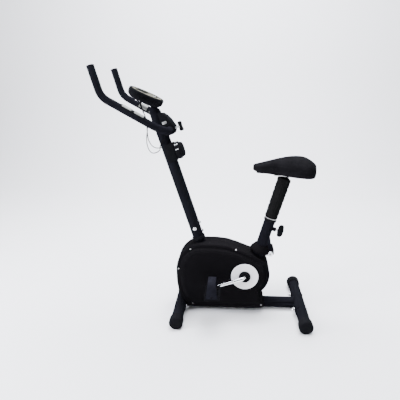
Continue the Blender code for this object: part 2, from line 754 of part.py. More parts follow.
def pedal_strap(side):
    """Wide strap arched over the platform, narrower at its top than at its feet."""
    out = PEDAL_WIDTH + GAP
    low = -PEDAL_HEIGHT * 0.35
    corners = [(0, -GAP - STRAP_THICKNESS, low), (0, -GAP - STRAP_THICKNESS, STRAP_TOP),
               (0, out + STRAP_THICKNESS, STRAP_TOP), (0, out + STRAP_THICKNESS, low)]
    outer = rounded(corners, (0.030, 0.026), 5)
    rings = []
    for k, point in enumerate(outer):
        share = min(1.0, max(0.0, (point.z - low) / (STRAP_TOP - low)))
        half = (STRAP_WIDTH_FOOT + (STRAP_WIDTH_TOP - STRAP_WIDTH_FOOT) * share) / 2
        centre = Vector((0, PEDAL_WIDTH / 2, STRAP_TOP - 0.035))
        ahead = (outer[min(k + 1, len(outer) - 1)] - outer[max(k - 1, 0)]).normalized()
        inward = Vector((0, ahead.z, -ahead.y))
        if inward.dot(centre - point) < 0:
            inward = -inward
        inner = point + inward * STRAP_THICKNESS
        ring = []
        for x, p in ((-half, point), (half, point), (half, inner), (-half, inner)):
            ring.append((x - STRAP_OFFSET, side * p.y, p.z))
        rings.append(ring)
    return stacked(rings)


def spindle(side):
    """Pedal axle through the crank's eye, with a collar between the two."""
    start = -(PEDAL_Y - CRANK_EYE_Y) - CRANK_EYE_WIDTH / 2 - 0.002
    eye = -(PEDAL_Y - CRANK_EYE_Y) + CRANK_EYE_WIDTH / 2 + GAP
    r = SPINDLE_D / 2
    profile = [(0, start), (r, start), (r, eye), (0.0085, eye), (0.0085, -STRAP_THICKNESS - 3 * GAP)]
    profile += [(r, -STRAP_THICKNESS - 3 * GAP), (r, PEDAL_WIDTH - 0.014), (0, PEDAL_WIDTH - 0.012)]
    return lathe(profile, 12, turn=Y_AXIS if side > 0 else DOWN_Y)


for side_name, side in sides.items():
    end = arm_end(side)
    pedal_axis = empty(f"{side_name}_pedal_axis", crank_spin, (end.x, side * PEDAL_Y, end.z))
    piece(f"{side_name}_pedal_spindle", spindle(side), STEEL, pedal_axis)
    pedal_spin = empty(f"{side_name}_pedal_spin", pedal_axis)
    neck = rod(0.0095, -0.02, 0.02, 12, turn=Y_AXIS)
    piece(f"{side_name}_pedal", pedal_body(side), BLACK_PLASTIC, pedal_spin)
    piece(f"{side_name}_strap", cut(pedal_strap(side), neck), RUBBER, pedal_spin)


# ------------------------------------------------------------------ flywheel, belt and brake
def stub_clear_x(z):
    """X of a line just in front of the stub, far enough for the flywheel's boss."""
    post_x = POST_BASE_X - (z - AXIS_Z) * math.tan(POST_LEAN)
    return post_x - (POST_R + FLYWHEEL_BOSS_D / 2) / math.cos(POST_LEAN)


FLYWHEEL_X = stub_clear_x(FLYWHEEL_Z)
flywheel_axis = empty("flywheel_axis", root, (FLYWHEEL_X, 0, FLYWHEEL_Z))
flywheel_spin = empty("flywheel_spin", flywheel_axis)
BRACKET_OUT = BRACKET_Y + BRACKET_PLATE
BRAKE_R = FLYWHEEL_D / 2 + BRAKE_GAP
PIVOT_R = BRAKE_R + BRAKE_DEPTH / 2
PIVOT = Vector((PIVOT_R * math.cos(BRAKE_PIVOT), 0, PIVOT_R * math.sin(BRAKE_PIVOT)))
AXLE_END = FLYWHEEL_Y + FLYWHEEL_WIDTH


def flywheel_bracket():
    """Two plates on the spine, joined at their foot, with the stud that the brake turns on."""
    foot = AXIS_Z + TUBE_R + GAP - FLYWHEEL_Z
    r = FLYWHEEL_BOSS_D / 2
    outline = [(-0.028, foot), (0.024, foot), (r, -0.02), (r, 0.006), (0.004, r + 0.004),
               (PIVOT.x + 0.010, PIVOT.z + 0.004), (PIVOT.x + 0.004, PIVOT.z + 0.010),
               (PIVOT.x - 0.008, PIVOT.z + 0.008), (PIVOT.x - 0.012, PIVOT.z - 0.010), (-r, 0)]
    near = prism(outline, -BRACKET_OUT, -BRACKET_Y)
    far = prism(outline, BRACKET_Y, BRACKET_OUT)
    tie = block((0.050, 2 * BRACKET_OUT - BRACKET_PLATE, 0.003), (-0.002, 0, foot + 0.0015))
    axle = rod(FLYWHEEL_AXLE_D / 2 + GAP, -0.04, 0.04, 16, turn=Y_AXIS)
    stud = rod(BRAKE_PIN_D / 2, -BRACKET_OUT + GAP, AXLE_END - 0.001, 12, PIVOT, Y_AXIS)
    return cut(weld(near, far, tie, stud), axle)


def flywheel():
    """Cast wheel with a heavy rim, and the small belt pulley turned on its hub."""
    r = FLYWHEEL_D / 2
    bore = FLYWHEEL_AXLE_D / 2 + SLIDE_FIT
    small = SMALL_PULLEY_D / 2
    start = FLYWHEEL_Y
    end = FLYWHEEL_Y + FLYWHEEL_WIDTH
    profile = [(bore, PULLEY_Y), (small, PULLEY_Y), (small, PULLEY_Y + PULLEY_WIDTH), (0.021, start)]
    profile += [(0.021, start + 0.003), (r - 0.022, start + 0.003), (r - 0.022, start), (r, start)]
    profile += [(r, end), (r - 0.022, end), (r - 0.022, end - 0.003), (0.018, end - 0.003)]
    profile += [(0.018, end - 0.001), (bore, end - 0.001)]
    return lathe(profile, 26, turn=Y_AXIS, hollow=True)


def flywheel_axle():
    """Axle through both plates, headed on the left."""
    r = FLYWHEEL_AXLE_D / 2
    head = BRACKET_OUT + GAP
    profile = [(0, -head - 0.006), (0.009, -head - 0.006), (0.009, -head), (r, -head)]
    profile += [(r, AXLE_END - 0.002), (0, AXLE_END)]
    return lathe(profile, 16, turn=Y_AXIS)


def brake_shoe():
    """Curved magnet carrier over the rim, drilled for its pivot."""
    steps = 10
    outline = []
    for r, run in ((BRAKE_R, range(steps + 1)), (BRAKE_R + BRAKE_DEPTH, range(steps, -1, -1))):
        for k in run:
            a = BRAKE_START + (BRAKE_PIVOT + 0.06 - BRAKE_START) * k / steps
            outline.append((r * math.cos(a) - PIVOT.x, r * math.sin(a) - PIVOT.z))
    shoe = prism(outline, FLYWHEEL_Y - 0.004, AXLE_END - 0.001)
    return cut(shoe, rod(BRAKE_PIN_D / 2 + SLIDE_FIT, 0, TUBE_D * 2, 12, turn=Y_AXIS))


def belt():
    """Flat belt round both pulleys, in one closed loop."""
    gap = Vector((AXLE_X - FLYWHEEL_X, 0, AXLE_Z - FLYWHEEL_Z))
    big = DRIVE_PULLEY_D / 2 + GAP
    small = SMALL_PULLEY_D / 2 + GAP
    tilt = math.atan2(gap.z, gap.x)
    spread = math.acos((big - small) / gap.length)
    wraps = ((gap, big, spread, 2 * math.pi - spread, 24), (Vector(), small, -spread, spread, 10))
    loops = []
    for extra in (0.0, BELT_THICKNESS):
        loop = []
        for centre, r, start, end, count in wraps:
            for k in range(count + 1):
                a = tilt + math.pi + start + (end - start) * k / count
                loop.append((centre.x + (r + extra) * math.cos(a), centre.z + (r + extra) * math.sin(a)))
        loops.append(loop)
    inner, outer = loops
    low = PULLEY_Y
    high = PULLEY_Y + PULLEY_WIDTH
    rings = []
    for line, y in ((inner, low), (outer, low), (outer, high), (inner, high), (inner, low)):
        rings.append([(x, y, z) for x, z in line])
    return stacked(rings, closed_ends=False)


piece("flywheel_bracket", flywheel_bracket(), STEEL, flywheel_axis)
piece("flywheel", flywheel(), CAST_IRON, flywheel_spin)
piece("flywheel_axle", flywheel_axle(), STEEL, flywheel_axis)
piece("drive_belt", belt(), RUBBER, flywheel_axis)
brake_axis = empty("brake_axis", flywheel_axis, PIVOT)
piece("brake_shoe", brake_shoe(), STEEL, brake_axis)

# ------------------------------------------------------------------ casing
def casing_line(inset):
    """Side outline of the casing, in from its rim by inset: arcs and straight runs."""
    rear = CASING_REAR_R - inset
    front = CASING_FRONT + inset
    bottom = CASING_BOTTOM + inset
    top = CASING_TOP - inset
    line = []
    for k in range(9):
        a = math.radians(-52 + 84 * k / 8)
        line.append((AXLE_X + rear * math.cos(a), AXLE_Z + rear * math.sin(a)))
    line += [(0.088 - 0.5 * inset, 0.268 - inset), (0.050 - 0.3 * inset, 0.288 - inset)]
    line += [(-0.010, 0.312 - inset), (-0.060, top - 0.006), (-0.110, top), (-0.150, top)]
    corner = 0.115 - inset
    for k in range(1, 9):
        a = math.radians(90 + 90 * k / 8)
        line.append((front + corner + corner * math.cos(a), top - corner * 1.1 * (1 - math.sin(a))))
    for k in range(0, 7):
        a = math.radians(180 + 78 * k / 6)
        line.append((front + TOE_REACH * (1 + math.cos(a)), bottom + TOE_RISE * (1 + math.sin(a) / TOE_SIN)))
    foot = 0.022 - inset * 0.5
    heel = AXLE_X + CASING_HEEL - inset
    for k in range(0, 5):
        a = math.radians(270 + 90 * k / 4)
        line.append((heel - foot + foot * math.cos(a), bottom + foot + foot * math.sin(a)))
    return line


def casing(side):
    """Half of the drive's casing: a rim, a step and a raised panel, open in the middle."""
    wall = CASING_WALL
    outer = [(0.0, GAP), (0.0, CASING_HALF - 0.006), (0.006, CASING_HALF), (0.020, CASING_HALF),
             (0.026, CASING_PANEL_HALF - 0.002), (0.030, CASING_PANEL_HALF)]
    inner = [(wall, GAP), (wall, CASING_HALF - 0.006 - wall * 0.4), (0.006 + wall * 0.6, CASING_HALF - wall),
             (0.020 + wall, CASING_HALF - wall), (0.026 + wall, CASING_PANEL_HALF - 0.002 - wall * 0.8),
             (0.030 + wall, CASING_PANEL_HALF - wall)]
    rings = []
    for inset, y in outer[::-1] + inner:
        rings.append([(x, side * y, z) for x, z in casing_line(inset)])
    shell = stacked(rings)
    far = CASING_PANEL_HALF * 2
    tools = [rod(TUBE_R + CASING_FIT, -far, far, 24, (-WHEELBASE / 2, 0, AXIS_Z), Y_AXIS)]
    tools.append(block((TUBE_D * 1.2, far * 2, TUBE_D), (-WHEELBASE / 2 - TUBE_R * 0.5, 0, AXIS_Z - TUBE_R)))
    tools.append(block((SADDLE_WALL + TUBE_R, SADDLE_LENGTH + 0.004, TUBE_D * 1.1),
                       (-WHEELBASE / 2 + TUBE_R, 0, AXIS_Z)))
    tools.append(rod(TUBE_R + CASING_FIT, -WHEELBASE, WHEELBASE, 24, (0, 0, AXIS_Z), X_AXIS))
    tools.append(rod(CRANK_AXLE_D / 2 + 0.004, 0, far, 20, (AXLE_X, 0, AXLE_Z),
                     Y_AXIS if side > 0 else DOWN_Y))
    post_turn = Matrix.Rotation(-POST_LEAN, 3, "Y")
    tools.append(rod(STUB_R + CASING_FIT, 0.15, POST_FOOT + 0.1, 24, (POST_BASE_X, 0, AXIS_Z), post_turn))
    seat_turn = Matrix.Rotation(SEAT_LEAN, 3, "Y")
    tools.append(rod(SEAT_R + CASING_FIT, -0.3, 0, 24, (SEAT_TUBE_TOP_X, 0, SEAT_TUBE_TOP_Z), seat_turn))
    return cut(shell, *tools)


for side_name, side in sides.items():
    piece(f"{side_name}_casing", casing(side), BLACK_PLASTIC, root)


# ------------------------------------------------------------------ handlebar and its clamp
BAR_OFF = POST_R + CLAMP_BASE + GAP + BAR_R
clamp_axis = empty("clamp_axis", post_axis, (BAR_OFF, 0, CLAMP_AT))
post_back = Matrix.Rotation(POST_LEAN, 3, "Y")
bar_axis = empty("bar_axis", clamp_axis, (0, 0, 0), POST_LEAN)
bar_tilt = empty("bar_tilt", bar_axis)
ARM_DIR = Vector((-math.cos(BAR_SLOPE), 0, math.sin(BAR_SLOPE)))
HORN_DIR = Vector((-math.sin(BAR_HORN_LEAN), 0, math.cos(BAR_HORN_LEAN)))


def handlebar():
    """One bent pipe: horn, arm, cross piece, arm and horn."""
    corners = []
    for side in (-1, 1):
        corner = Vector((0, side * BAR_HALF, 0))
        elbow = corner + ARM_DIR * BAR_ARM
        tip = elbow + HORN_DIR * BAR_HORN
        corners.append([tip, elbow, corner])
    line = corners[0] + corners[1][::-1]
    radii = (BAR_ELBOW_R, BAR_CORNER_R, BAR_CORNER_R, BAR_ELBOW_R)
    return sweep(rounded(line, radii, 5), BAR_R, 12, BAR_WALL)


def pulse_sensor(side):
    """Half sleeve on the upper and inner side of an arm."""
    inner = BAR_R + GAP
    outer = inner + SENSOR_WALL
    start = Vector((0, side * BAR_HALF, 0)) + ARM_DIR * SENSOR_FROM
    up = Vector((math.sin(BAR_SLOPE), 0, math.cos(BAR_SLOPE)))
    inward = Vector((0, -side, 0))
    steps = 10
    section = []
    for r, run in ((outer, range(steps + 1)), (inner, range(steps, -1, -1))):
        for k in run:
            a = math.radians(-62 + 180 * k / steps)
            section.append(up * (r * math.cos(a)) + inward * (r * math.sin(a)))
    rings = []
    for distance in (0.0, SENSOR_LENGTH):
        rings.append([start + ARM_DIR * distance + p for p in section])
    return stacked(rings)


def handlebar_clamp():
    """Sleeve round the cross piece, on a block welded to the post."""
    bore = BAR_R + GAP
    sleeve = rod(bore + CLAMP_WALL, -CLAMP_HALF, CLAMP_HALF, 24, turn=Y_AXIS)
    block_reach = BAR_OFF - POST_R * 0.55
    seat = block((block_reach, CLAMP_HALF * 1.7, BAR_R * 1.7), (-block_reach / 2, 0, 0))
    hole = rod(bore, -POST_D, POST_D, 24, turn=Y_AXIS)
    post = rod(POST_R + GAP, -POST_D * 2, POST_D * 2, 28, (-BAR_OFF, 0, 0))
    screw = rod(KNOB_SCREW_D / 2 + HOLE_FIT, 0, POST_D, 12, turn=X_AXIS)
    return cut(weld(sleeve, seat), hole, post, screw)


COVER_OUT = 0.0200        # of the cross piece's axis, to the back of the cover


def cover_line(inset):
    """Side outline of the clamp's cover in the clamp's axes."""
    back = COVER_OUT - inset
    return [(-BAR_OFF, -0.022 + inset), (back - 0.010, -0.021 + inset), (back - 0.002, -0.012),
            (back, 0.006), (back - 0.002, 0.024), (back - 0.008, 0.042 - inset * 0.5),
            (back - 0.018, 0.060 - inset), (back - 0.030, 0.074 - inset), (-BAR_OFF, 0.085 - inset)]


def clamp_cover():
    """Moulded cover over the clamp, open to the post, with a slot at each side."""
    shell = prism(cover_line(0), -COVER_HALF, COVER_HALF)
    hollow_half = COVER_HALF - COVER_WALL
    hollow = prism(cover_line(COVER_WALL), -hollow_half, hollow_half)
    bar = rod(BAR_R + 0.0015, -POST_D * 2, POST_D * 2, 24, turn=Y_AXIS)
    post = rod(POST_R + GAP, -POST_D * 3, POST_D * 3, 28, (-BAR_OFF, 0, 0))
    front = block((BAR_OFF, POST_D * 3, POST_D * 4), (-BAR_OFF * 1.5 + POST_R * 0.55, 0, 0))
    screw = rod(KNOB_SCREW_D / 2 + 0.001, 0, POST_D, 12, turn=X_AXIS)
    return cut(shell, hollow, bar, post, front, screw)


def clamp_knob():
    """T handle on the screw that tightens the clamp."""
    start = BAR_R + 2 * GAP
    end = COVER_OUT + 0.024
    r = KNOB_SCREW_D / 2
    screw = lathe([(0, start), (r, start), (r, end), (0, end)], 12, turn=X_AXIS)
    half = T_BAR_LENGTH / 2
    bar_r = T_BAR_D / 2
    profile = [(0, -half), (bar_r * 0.8, -half + 0.001), (bar_r, -half + 0.005), (bar_r * 0.85, 0)]
    profile += [(bar_r, half - 0.005), (bar_r * 0.8, half - 0.001), (0, half)]
    grip = lathe(profile, 12, (end, 0, 0))
    neck = lathe([(0, end - 0.014), (0.0055, end - 0.014), (0.0065, end), (0, end)], 12, turn=X_AXIS)
    return weld(screw, grip, neck)


piece("handlebar", handlebar(), BLACK_PAINT, bar_tilt)
for side_name, side in sides.items():
    piece(f"{side_name}_pulse_sensor", pulse_sensor(side), CHROME, bar_tilt)
piece("handlebar_clamp", handlebar_clamp(), STEEL, clamp_axis)
piece("clamp_cover", clamp_cover(), BLACK_PLASTIC, clamp_axis)
knob_turn = empty("clamp_knob_turn", clamp_axis)
piece("clamp_knob", clamp_knob(), BLACK_PLASTIC, knob_turn)


# ------------------------------------------------------------------ tension control
tension_axis = empty("tension_axis", post_axis, (0, 0, TENSION_AT))


def tension_housing():
    """Saddle box on the back of the post, drilled for the knob's shaft and the cable."""
    w = HOUSING_HALF_WIDTH
    h = HOUSING_HALF_HEIGHT
    depth = HOUSING_REACH + HOUSING_WRAP
    middle = HOUSING_REACH - depth / 2
    shell = block((depth, 2 * w, 2 * h), (middle, 0, 0))
    edges = [e for e in shell.edges if abs(e.verts[0].co.x - e.verts[1].co.x) < 1e-6]
    back = [e for e in edges if e.verts[0].co.x > middle]
    bmesh.ops.bevel(shell, geom=back, offset=0.006, segments=3, affect="EDGES", profile=0.5)
    post = rod(POST_R + GAP, -POST_D * 2, POST_D * 2, 28)
    shaft = rod(TENSION_SHAFT_D / 2 + HOLE_FIT, 0, POST_D, 12, turn=X_AXIS)
    return cut(shell, post, shaft)


def tension_knob():
    """Fluted dial on its shaft."""
    start = HOUSING_REACH + GAP * 2
    r = TENSION_KNOB_D / 2
    end = start + TENSION_KNOB_LENGTH
    profile = [(0, POST_R + 0.002), (TENSION_SHAFT_D / 2, POST_R + 0.002), (TENSION_SHAFT_D / 2, start)]
    profile += [(r - 0.002, start), (r, start + 0.003), (r, start + 0.011), (r - 0.006, start + 0.015)]
    profile += [(r - 0.009, end - 0.005), (r - 0.013, end - 0.001), (0, end)]
    return lathe(profile, 20, turn=X_AXIS)


piece("tension_housing", tension_housing(), BLACK_PLASTIC, tension_axis)
tension_turn = empty("tension_turn", tension_axis)
piece("tension_knob", tension_knob(), BLACK_PLASTIC, tension_turn)
cable_points = [(POST_R - 0.001, 0, TENSION_AT - GAP), (POST_R * 0.55, 0, TENSION_AT - 0.003),
                (0.002, 0, TENSION_AT - 0.030), (0, 0, TENSION_AT - 0.080), (0, 0, 0.50), (0, 0, 0.36),
                (0, 0, 0.262), (0.0, 0.004, CABLE_PORT + 0.030), (0, 0.016, CABLE_PORT + 0.008),
                (-0.001, 0.030, CABLE_PORT), (-0.002, 0.0335, CABLE_PORT + 0.003)]
cord("tension_cable", cable_points, CABLE_D, RUBBER, post_axis)


# ------------------------------------------------------------------ console
CONSOLE_R = CONSOLE_D / 2
console_axis = empty("console_axis", root, (CONSOLE_X, 0, CONSOLE_Z), CONSOLE_TILT)


def console_back():
    """Dished back of the console, open towards its face."""
    low = -CONSOLE_DEPTH
    top = -BEZEL_DEPTH - GAP
    w = CONSOLE_WALL
    r = CONSOLE_R
    outer = [(0, low), (r * 0.62, low), (r * 0.80, low + 0.004), (r * 0.93, low + 0.016), (r, top)]
    inner = [(r - w, top), (r * 0.93 - w, low + 0.017), (r * 0.79 - w, low + 0.006 + w * 0.4)]
    inner += [(r * 0.61 - w, low + w), (0, low + w)]
    shell = lathe(outer + inner, 26)
    return cut(shell, rod(0.004, low - 0.01, low + 0.01, 10, (-0.020, 0, 0)))


def rounded_plate(length, width, corner, low, high):
    """Rectangle with rounded corners in the face's plane."""
    outline = []
    for cx, cy, start in ((1, 1, 0), (-1, 1, 90), (-1, -1, 180), (1, -1, 270)):
        for k in range(5):
            a = math.radians(start + 90 * k / 4)
            outline.append((cx * (length / 2 - corner) + corner * math.cos(a),
                            cy * (width / 2 - corner) + corner * math.sin(a)))
    return stacked([[(x, y, z) for x, y in outline] for z in (low, high)])


def console_bezel():
    """Face ring with a window for the display and a hole for the button."""
    r = CONSOLE_R
    low = -BEZEL_DEPTH
    profile = [(0, low + 0.006), (r - 0.004, low + 0.006), (r - 0.004, low), (r, low), (r, -0.006)]
    profile += [(r - 0.003, -0.002), (r - 0.010, 0), (0, 0)]
    window = rounded_plate(LENS_LENGTH + 2 * GAP, LENS_WIDTH + 2 * GAP, 0.006, low - 0.01, 0.01)
    moved(window, (LENS_OFFSET, 0, 0))
    hole = rod(BUTTON_D / 2 + SLIDE_FIT, low - 0.01, 0.01, 20, (BUTTON_OFFSET, 0, 0))
    return cut(lathe(profile, 26), window, hole)


piece("console_back", console_back(), BLACK_PLASTIC, console_axis)
piece("console_bezel", console_bezel(), GREY_PLASTIC, console_axis)
lens = rounded_plate(LENS_LENGTH, LENS_WIDTH, 0.006, -LENS_THICKNESS - 0.0005, -0.0005)
piece("console_lens", moved(lens, (LENS_OFFSET, 0, 0)), GLASS, console_axis)
button_push = empty("button_push", console_axis, (BUTTON_OFFSET, 0, 0))
button = lathe([(0, -0.006), (BUTTON_D / 2, -0.006), (BUTTON_D / 2, 0.001),
                (BUTTON_D / 2 - 0.001, 0.002), (0, 0.0025)], 20)
piece("mode_button", button, BLACK_PLASTIC, button_push)


def console_bracket():
    """Plug in the post's top and the tilted plate that the console is screwed to."""
    bore = POST_R - POST_WALL - SLIDE_FIT
    plug = rod(bore, -0.030, 0.030, 20)
    flange = rod(POST_R, GAP, 0.0035, 24)
    top = Matrix.Rotation(CONSOLE_TILT + POST_LEAN, 3, "Y")
    seat = console_seat - Vector((0, 0, POST_TOP))
    above = block((0.12, 0.12, 0.08), seat + top @ Vector((0, 0, 0.04)), top)
    plate = block((0.066, 0.046, 0.003), seat + top @ Vector((-0.016, 0, -0.0015)), top)
    return weld(cut(weld(plug, flange), above), plate)


offset = Vector((CONSOLE_X - POST_BASE_X, 0, CONSOLE_Z - AXIS_Z))
normal = Vector((math.sin(CONSOLE_TILT), 0, math.cos(CONSOLE_TILT)))
under_face = offset - normal * (CONSOLE_DEPTH + GAP)
post_dir = Vector((-math.sin(POST_LEAN), 0, math.cos(POST_LEAN)))
console_seat = Vector((0, 0, under_face.dot(normal) / post_dir.dot(normal)))
bracket_axis = empty("bracket_axis", post_axis, (0, 0, POST_TOP))
piece("console_bracket", console_bracket(), STEEL, bracket_axis)

# ------------------------------------------------------------------ seat post and saddle
seat_slide = empty("seat_slide", seat_axis)


def seat_post():
    """Pipe with a row of index holes and the plate that the saddle is screwed to."""
    tube = pipe(SEAT_POST_R, SEAT_POST_WALL, -SEAT_POST_DEPTH, SEAT_POST_RISE, 18)
    holes = []
    for k in range(INDEX_HOLES):
        z = -POP_PIN_DROP - k * INDEX_PITCH
        holes.append(rod(INDEX_HOLE_D / 2, 0, POST_D, 8, (0, 0, z), X_AXIS))
    level = Matrix.Rotation(SADDLE_TILT - SEAT_LEAN, 3, "Y")
    above = block((0.10, 0.10, 0.06), Vector((0, 0, SEAT_POST_RISE - 0.006)) + level @ Vector((0, 0, 0.03)),
                  level)
    plate = block((0.105, 0.050, 0.003), Vector((0, 0, SEAT_POST_RISE - 0.0045)), level)
    drain = rod(0.004, -0.02, 0.02, 10, (0, 0, SEAT_POST_RISE - 0.006))
    return cut(weld(cut(tube, *holes, above), plate), drain)


def seat_sleeve():
    """Thick foam sleeve round the seat post."""
    return pipe(SLEEVE_D / 2, SLEEVE_D / 2 - SEAT_POST_R - GAP, 0, SLEEVE_LENGTH, 22, (0, 0, SLEEVE_START))


piece("seat_post", seat_post(), CHROME, seat_slide)
piece("seat_sleeve", seat_sleeve(), RUBBER, seat_slide)
saddle_axis = empty("saddle_axis", seat_slide, (0, 0, SEAT_POST_RISE - 0.003 + 3 * GAP),
                    SADDLE_TILT - SEAT_LEAN)


def saddle_half_width(t):
    """Half the saddle's width at a share t of its length, from nose to back."""
    nose = SEAT_NOSE_WIDTH / 2
    wide = SEAT_WIDTH / 2
    swell = 1 / (1 + math.exp(-11 * (t - 0.52)))
    body = nose + (wide - nose) * swell
    tip = math.sqrt(max(0.0, 1 - (1 - min(t / 0.12, 1)) ** 2))
    tail = math.sqrt(max(0.0, 1 - max(0.0, (t - 0.80) / 0.20) ** 2.6))
    return body * tip * tail


def saddle_section(t, inset, low, high):
    """A rounded section across the saddle at share t of its length."""
    x = SEAT_BACK_REACH - SEAT_LENGTH * (1 - t)
    half = max(0.003, saddle_half_width(t) - inset)
    ring = []
    for k in range(18):
        a = 2 * math.pi * k / 18
        c = math.copysign(abs(math.cos(a)) ** 0.7, math.cos(a))
        s = math.copysign(abs(math.sin(a)) ** 0.75, math.sin(a))
        ring.append((x, half * c, (low + high) / 2 + (high - low) / 2 * s))
    return ring


def saddle_top(t):
    """Height of the pad's crown over its base at share t of its length."""
    rise = SEAT_NOSE_HEIGHT + (SEAT_PAD_HEIGHT - SEAT_NOSE_HEIGHT) * math.sin(min(t / 0.72, 1) * math.pi / 2) ** 1.2
    fall = max(0.0, (t - 0.72) / 0.28)
    return rise - 0.030 * fall ** 2.2


def saddle_part(inset, low, high_at, shares):
    rings = [saddle_section(t, inset, low, high_at(t)) for t in shares]
    return stacked(rings)


shares = [0.01, 0.03, 0.07, 0.13, 0.22, 0.32, 0.42, 0.52, 0.62, 0.72, 0.82, 0.90, 0.95, 0.985, 0.997]
base_bm = saddle_part(0.012, GAP, lambda t: SEAT_BASE_HEIGHT, shares[2:-2])
piece("saddle_base", base_bm, BLACK_PLASTIC, saddle_axis, 60)
pad_bm = saddle_part(0.0, SEAT_BASE_HEIGHT + GAP, saddle_top, shares)
piece("saddle_pad", pad_bm, VINYL, saddle_axis, 60)

pop_axis = empty("pop_axis", seat_axis, (0, 0, -POP_PIN_DROP))


def pop_pin():
    """Lobed knob on the sprung pin that locks the seat post."""
    r = POP_PIN_D / 2
    start = SEAT_POST_R + GAP
    shoulder = SEAT_R + POP_BOSS_LENGTH + 2 * GAP
    knob = shoulder + POP_NECK
    pin = lathe([(0, start), (r, start), (r, knob + 0.002), (0, knob + 0.002)], 12, turn=X_AXIS)
    rings = []
    big = POP_KNOB_D / 2
    for scale, x in ((0.30, knob), (0.80, knob + 0.001), (0.97, knob + 0.005), (1.0, knob + 0.010),
                     (0.95, knob + POP_KNOB_LENGTH - 0.004), (0.80, knob + POP_KNOB_LENGTH)):
        ring = []
        for k in range(24):
            a = 2 * math.pi * k / 24
            radius = scale * (big - 0.0035 * (1 - math.cos(POP_KNOB_LOBES * a)))
            ring.append((x, radius * math.cos(a), radius * math.sin(a)))
        rings.append(ring)
    return weld(pin, stacked(rings))


piece("pop_pin", pop_pin(), BLACK_PLASTIC, pop_axis)

# ------------------------------------------------------------------ free leads
# In the wheelbase's axes: the first hangs from the console's back and climbs the post's
# left side to the clamp's cover, the second goes from the console into the post.
PULSE_LEAD = [(-0.4256, -0.0040, 0.9622), (-0.4294, -0.0040, 0.9541), (-0.4300, -0.0040, 0.9430),
              (-0.4210, -0.0040, 0.9200), (-0.4110, -0.0030, 0.8950), (-0.4065, -0.0020, 0.8700),
              (-0.4055, -0.0010, 0.8440), (-0.4105, 0.0000, 0.8100), (-0.4105, 0.0000, 0.7780),
              (-0.4020, 0.0000, 0.7520), (-0.3870, 0.0000, 0.7395), (-0.3690, 0.0000, 0.7430),
              (-0.3550, -0.0030, 0.7535), (-0.3503, -0.0155, 0.7700), (-0.3424, -0.0269, 0.7870),
              (-0.3317, -0.0303, 0.7995), (-0.3257, -0.0300, 0.8050)]
SPEED_LEAD = [(-0.4256, 0.0100, 0.9622), (-0.4294, 0.0100, 0.9541), (-0.4298, 0.0100, 0.9430),
              (-0.4230, 0.0105, 0.9200), (-0.4150, 0.0110, 0.8950), (-0.4110, 0.0110, 0.8700),
              (-0.4100, 0.0120, 0.8440), (-0.4085, 0.0120, 0.8100), (-0.4030, 0.0120, 0.7880),
              (-0.3910, 0.0120, 0.7700), (-0.3760, 0.0120, 0.7610), (-0.3600, 0.0120, 0.7600),
              (-0.3468, 0.0120, 0.7620)]
cord("pulse_lead", PULSE_LEAD, LEAD_D, RUBBER, root)
cord("speed_lead", SPEED_LEAD, LEAD_D, RUBBER, root)

# ------------------------------------------------------------------ place the whole bike
bpy.context.view_layer.update()
reach = []
for obj in bpy.data.objects:
    if obj.type == "MESH":
        reach += [(obj.matrix_world @ vertex.co).x for vertex in obj.data.vertices]
root.location.x = -(min(reach) + max(reach)) / 2
bpy.context.view_layer.update()
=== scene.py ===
import math
import bmesh
import bpy
import numpy as np
from mathutils import Matrix, Vector


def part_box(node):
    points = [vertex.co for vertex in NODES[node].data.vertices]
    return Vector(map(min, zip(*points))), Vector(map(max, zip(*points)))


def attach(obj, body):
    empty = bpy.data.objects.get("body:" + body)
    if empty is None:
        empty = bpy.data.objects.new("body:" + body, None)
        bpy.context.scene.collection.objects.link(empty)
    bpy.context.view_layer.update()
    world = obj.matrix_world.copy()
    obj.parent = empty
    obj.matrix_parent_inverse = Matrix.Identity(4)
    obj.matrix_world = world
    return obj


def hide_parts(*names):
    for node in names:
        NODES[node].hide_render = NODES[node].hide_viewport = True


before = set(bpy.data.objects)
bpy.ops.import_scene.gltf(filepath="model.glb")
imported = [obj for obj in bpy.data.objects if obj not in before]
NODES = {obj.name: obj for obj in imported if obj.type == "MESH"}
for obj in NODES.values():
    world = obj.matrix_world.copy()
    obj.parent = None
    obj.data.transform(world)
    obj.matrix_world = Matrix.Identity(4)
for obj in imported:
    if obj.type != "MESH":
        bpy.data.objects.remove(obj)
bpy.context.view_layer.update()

# ---------------------------------------------------------------- viewpoint
# A standing person's view of the bike's left side, a little above the saddle and
# turned slightly to the front.
eye_yaw, eye_pitch, eye_roll = -0.0917, 0.2777, -0.0156
ahead = Vector((math.sin(eye_yaw) * math.cos(eye_pitch), math.cos(eye_yaw) * math.cos(eye_pitch),
                -math.sin(eye_pitch)))
level = Vector((math.cos(eye_yaw), -math.sin(eye_yaw), 0))
upright = level.cross(ahead)
eye_x = math.cos(eye_roll) * level + math.sin(eye_roll) * upright
eye_y = -math.sin(eye_roll) * level + math.cos(eye_roll) * upright
eye = bpy.data.cameras.new("standing_eye")
eye.lens = 34.9
eye.sensor_width = 36.0
eye.clip_start = 0.05
eye_object = bpy.data.objects.new("standing_eye", eye)
eye_object.matrix_world = Matrix.Translation((0.1087, -1.6649, 1.0045)) @ Matrix(
    (eye_x, eye_y, -ahead)).transposed().to_4x4()
bpy.context.scene.collection.objects.link(eye_object)
bpy.context.scene.camera = eye_object


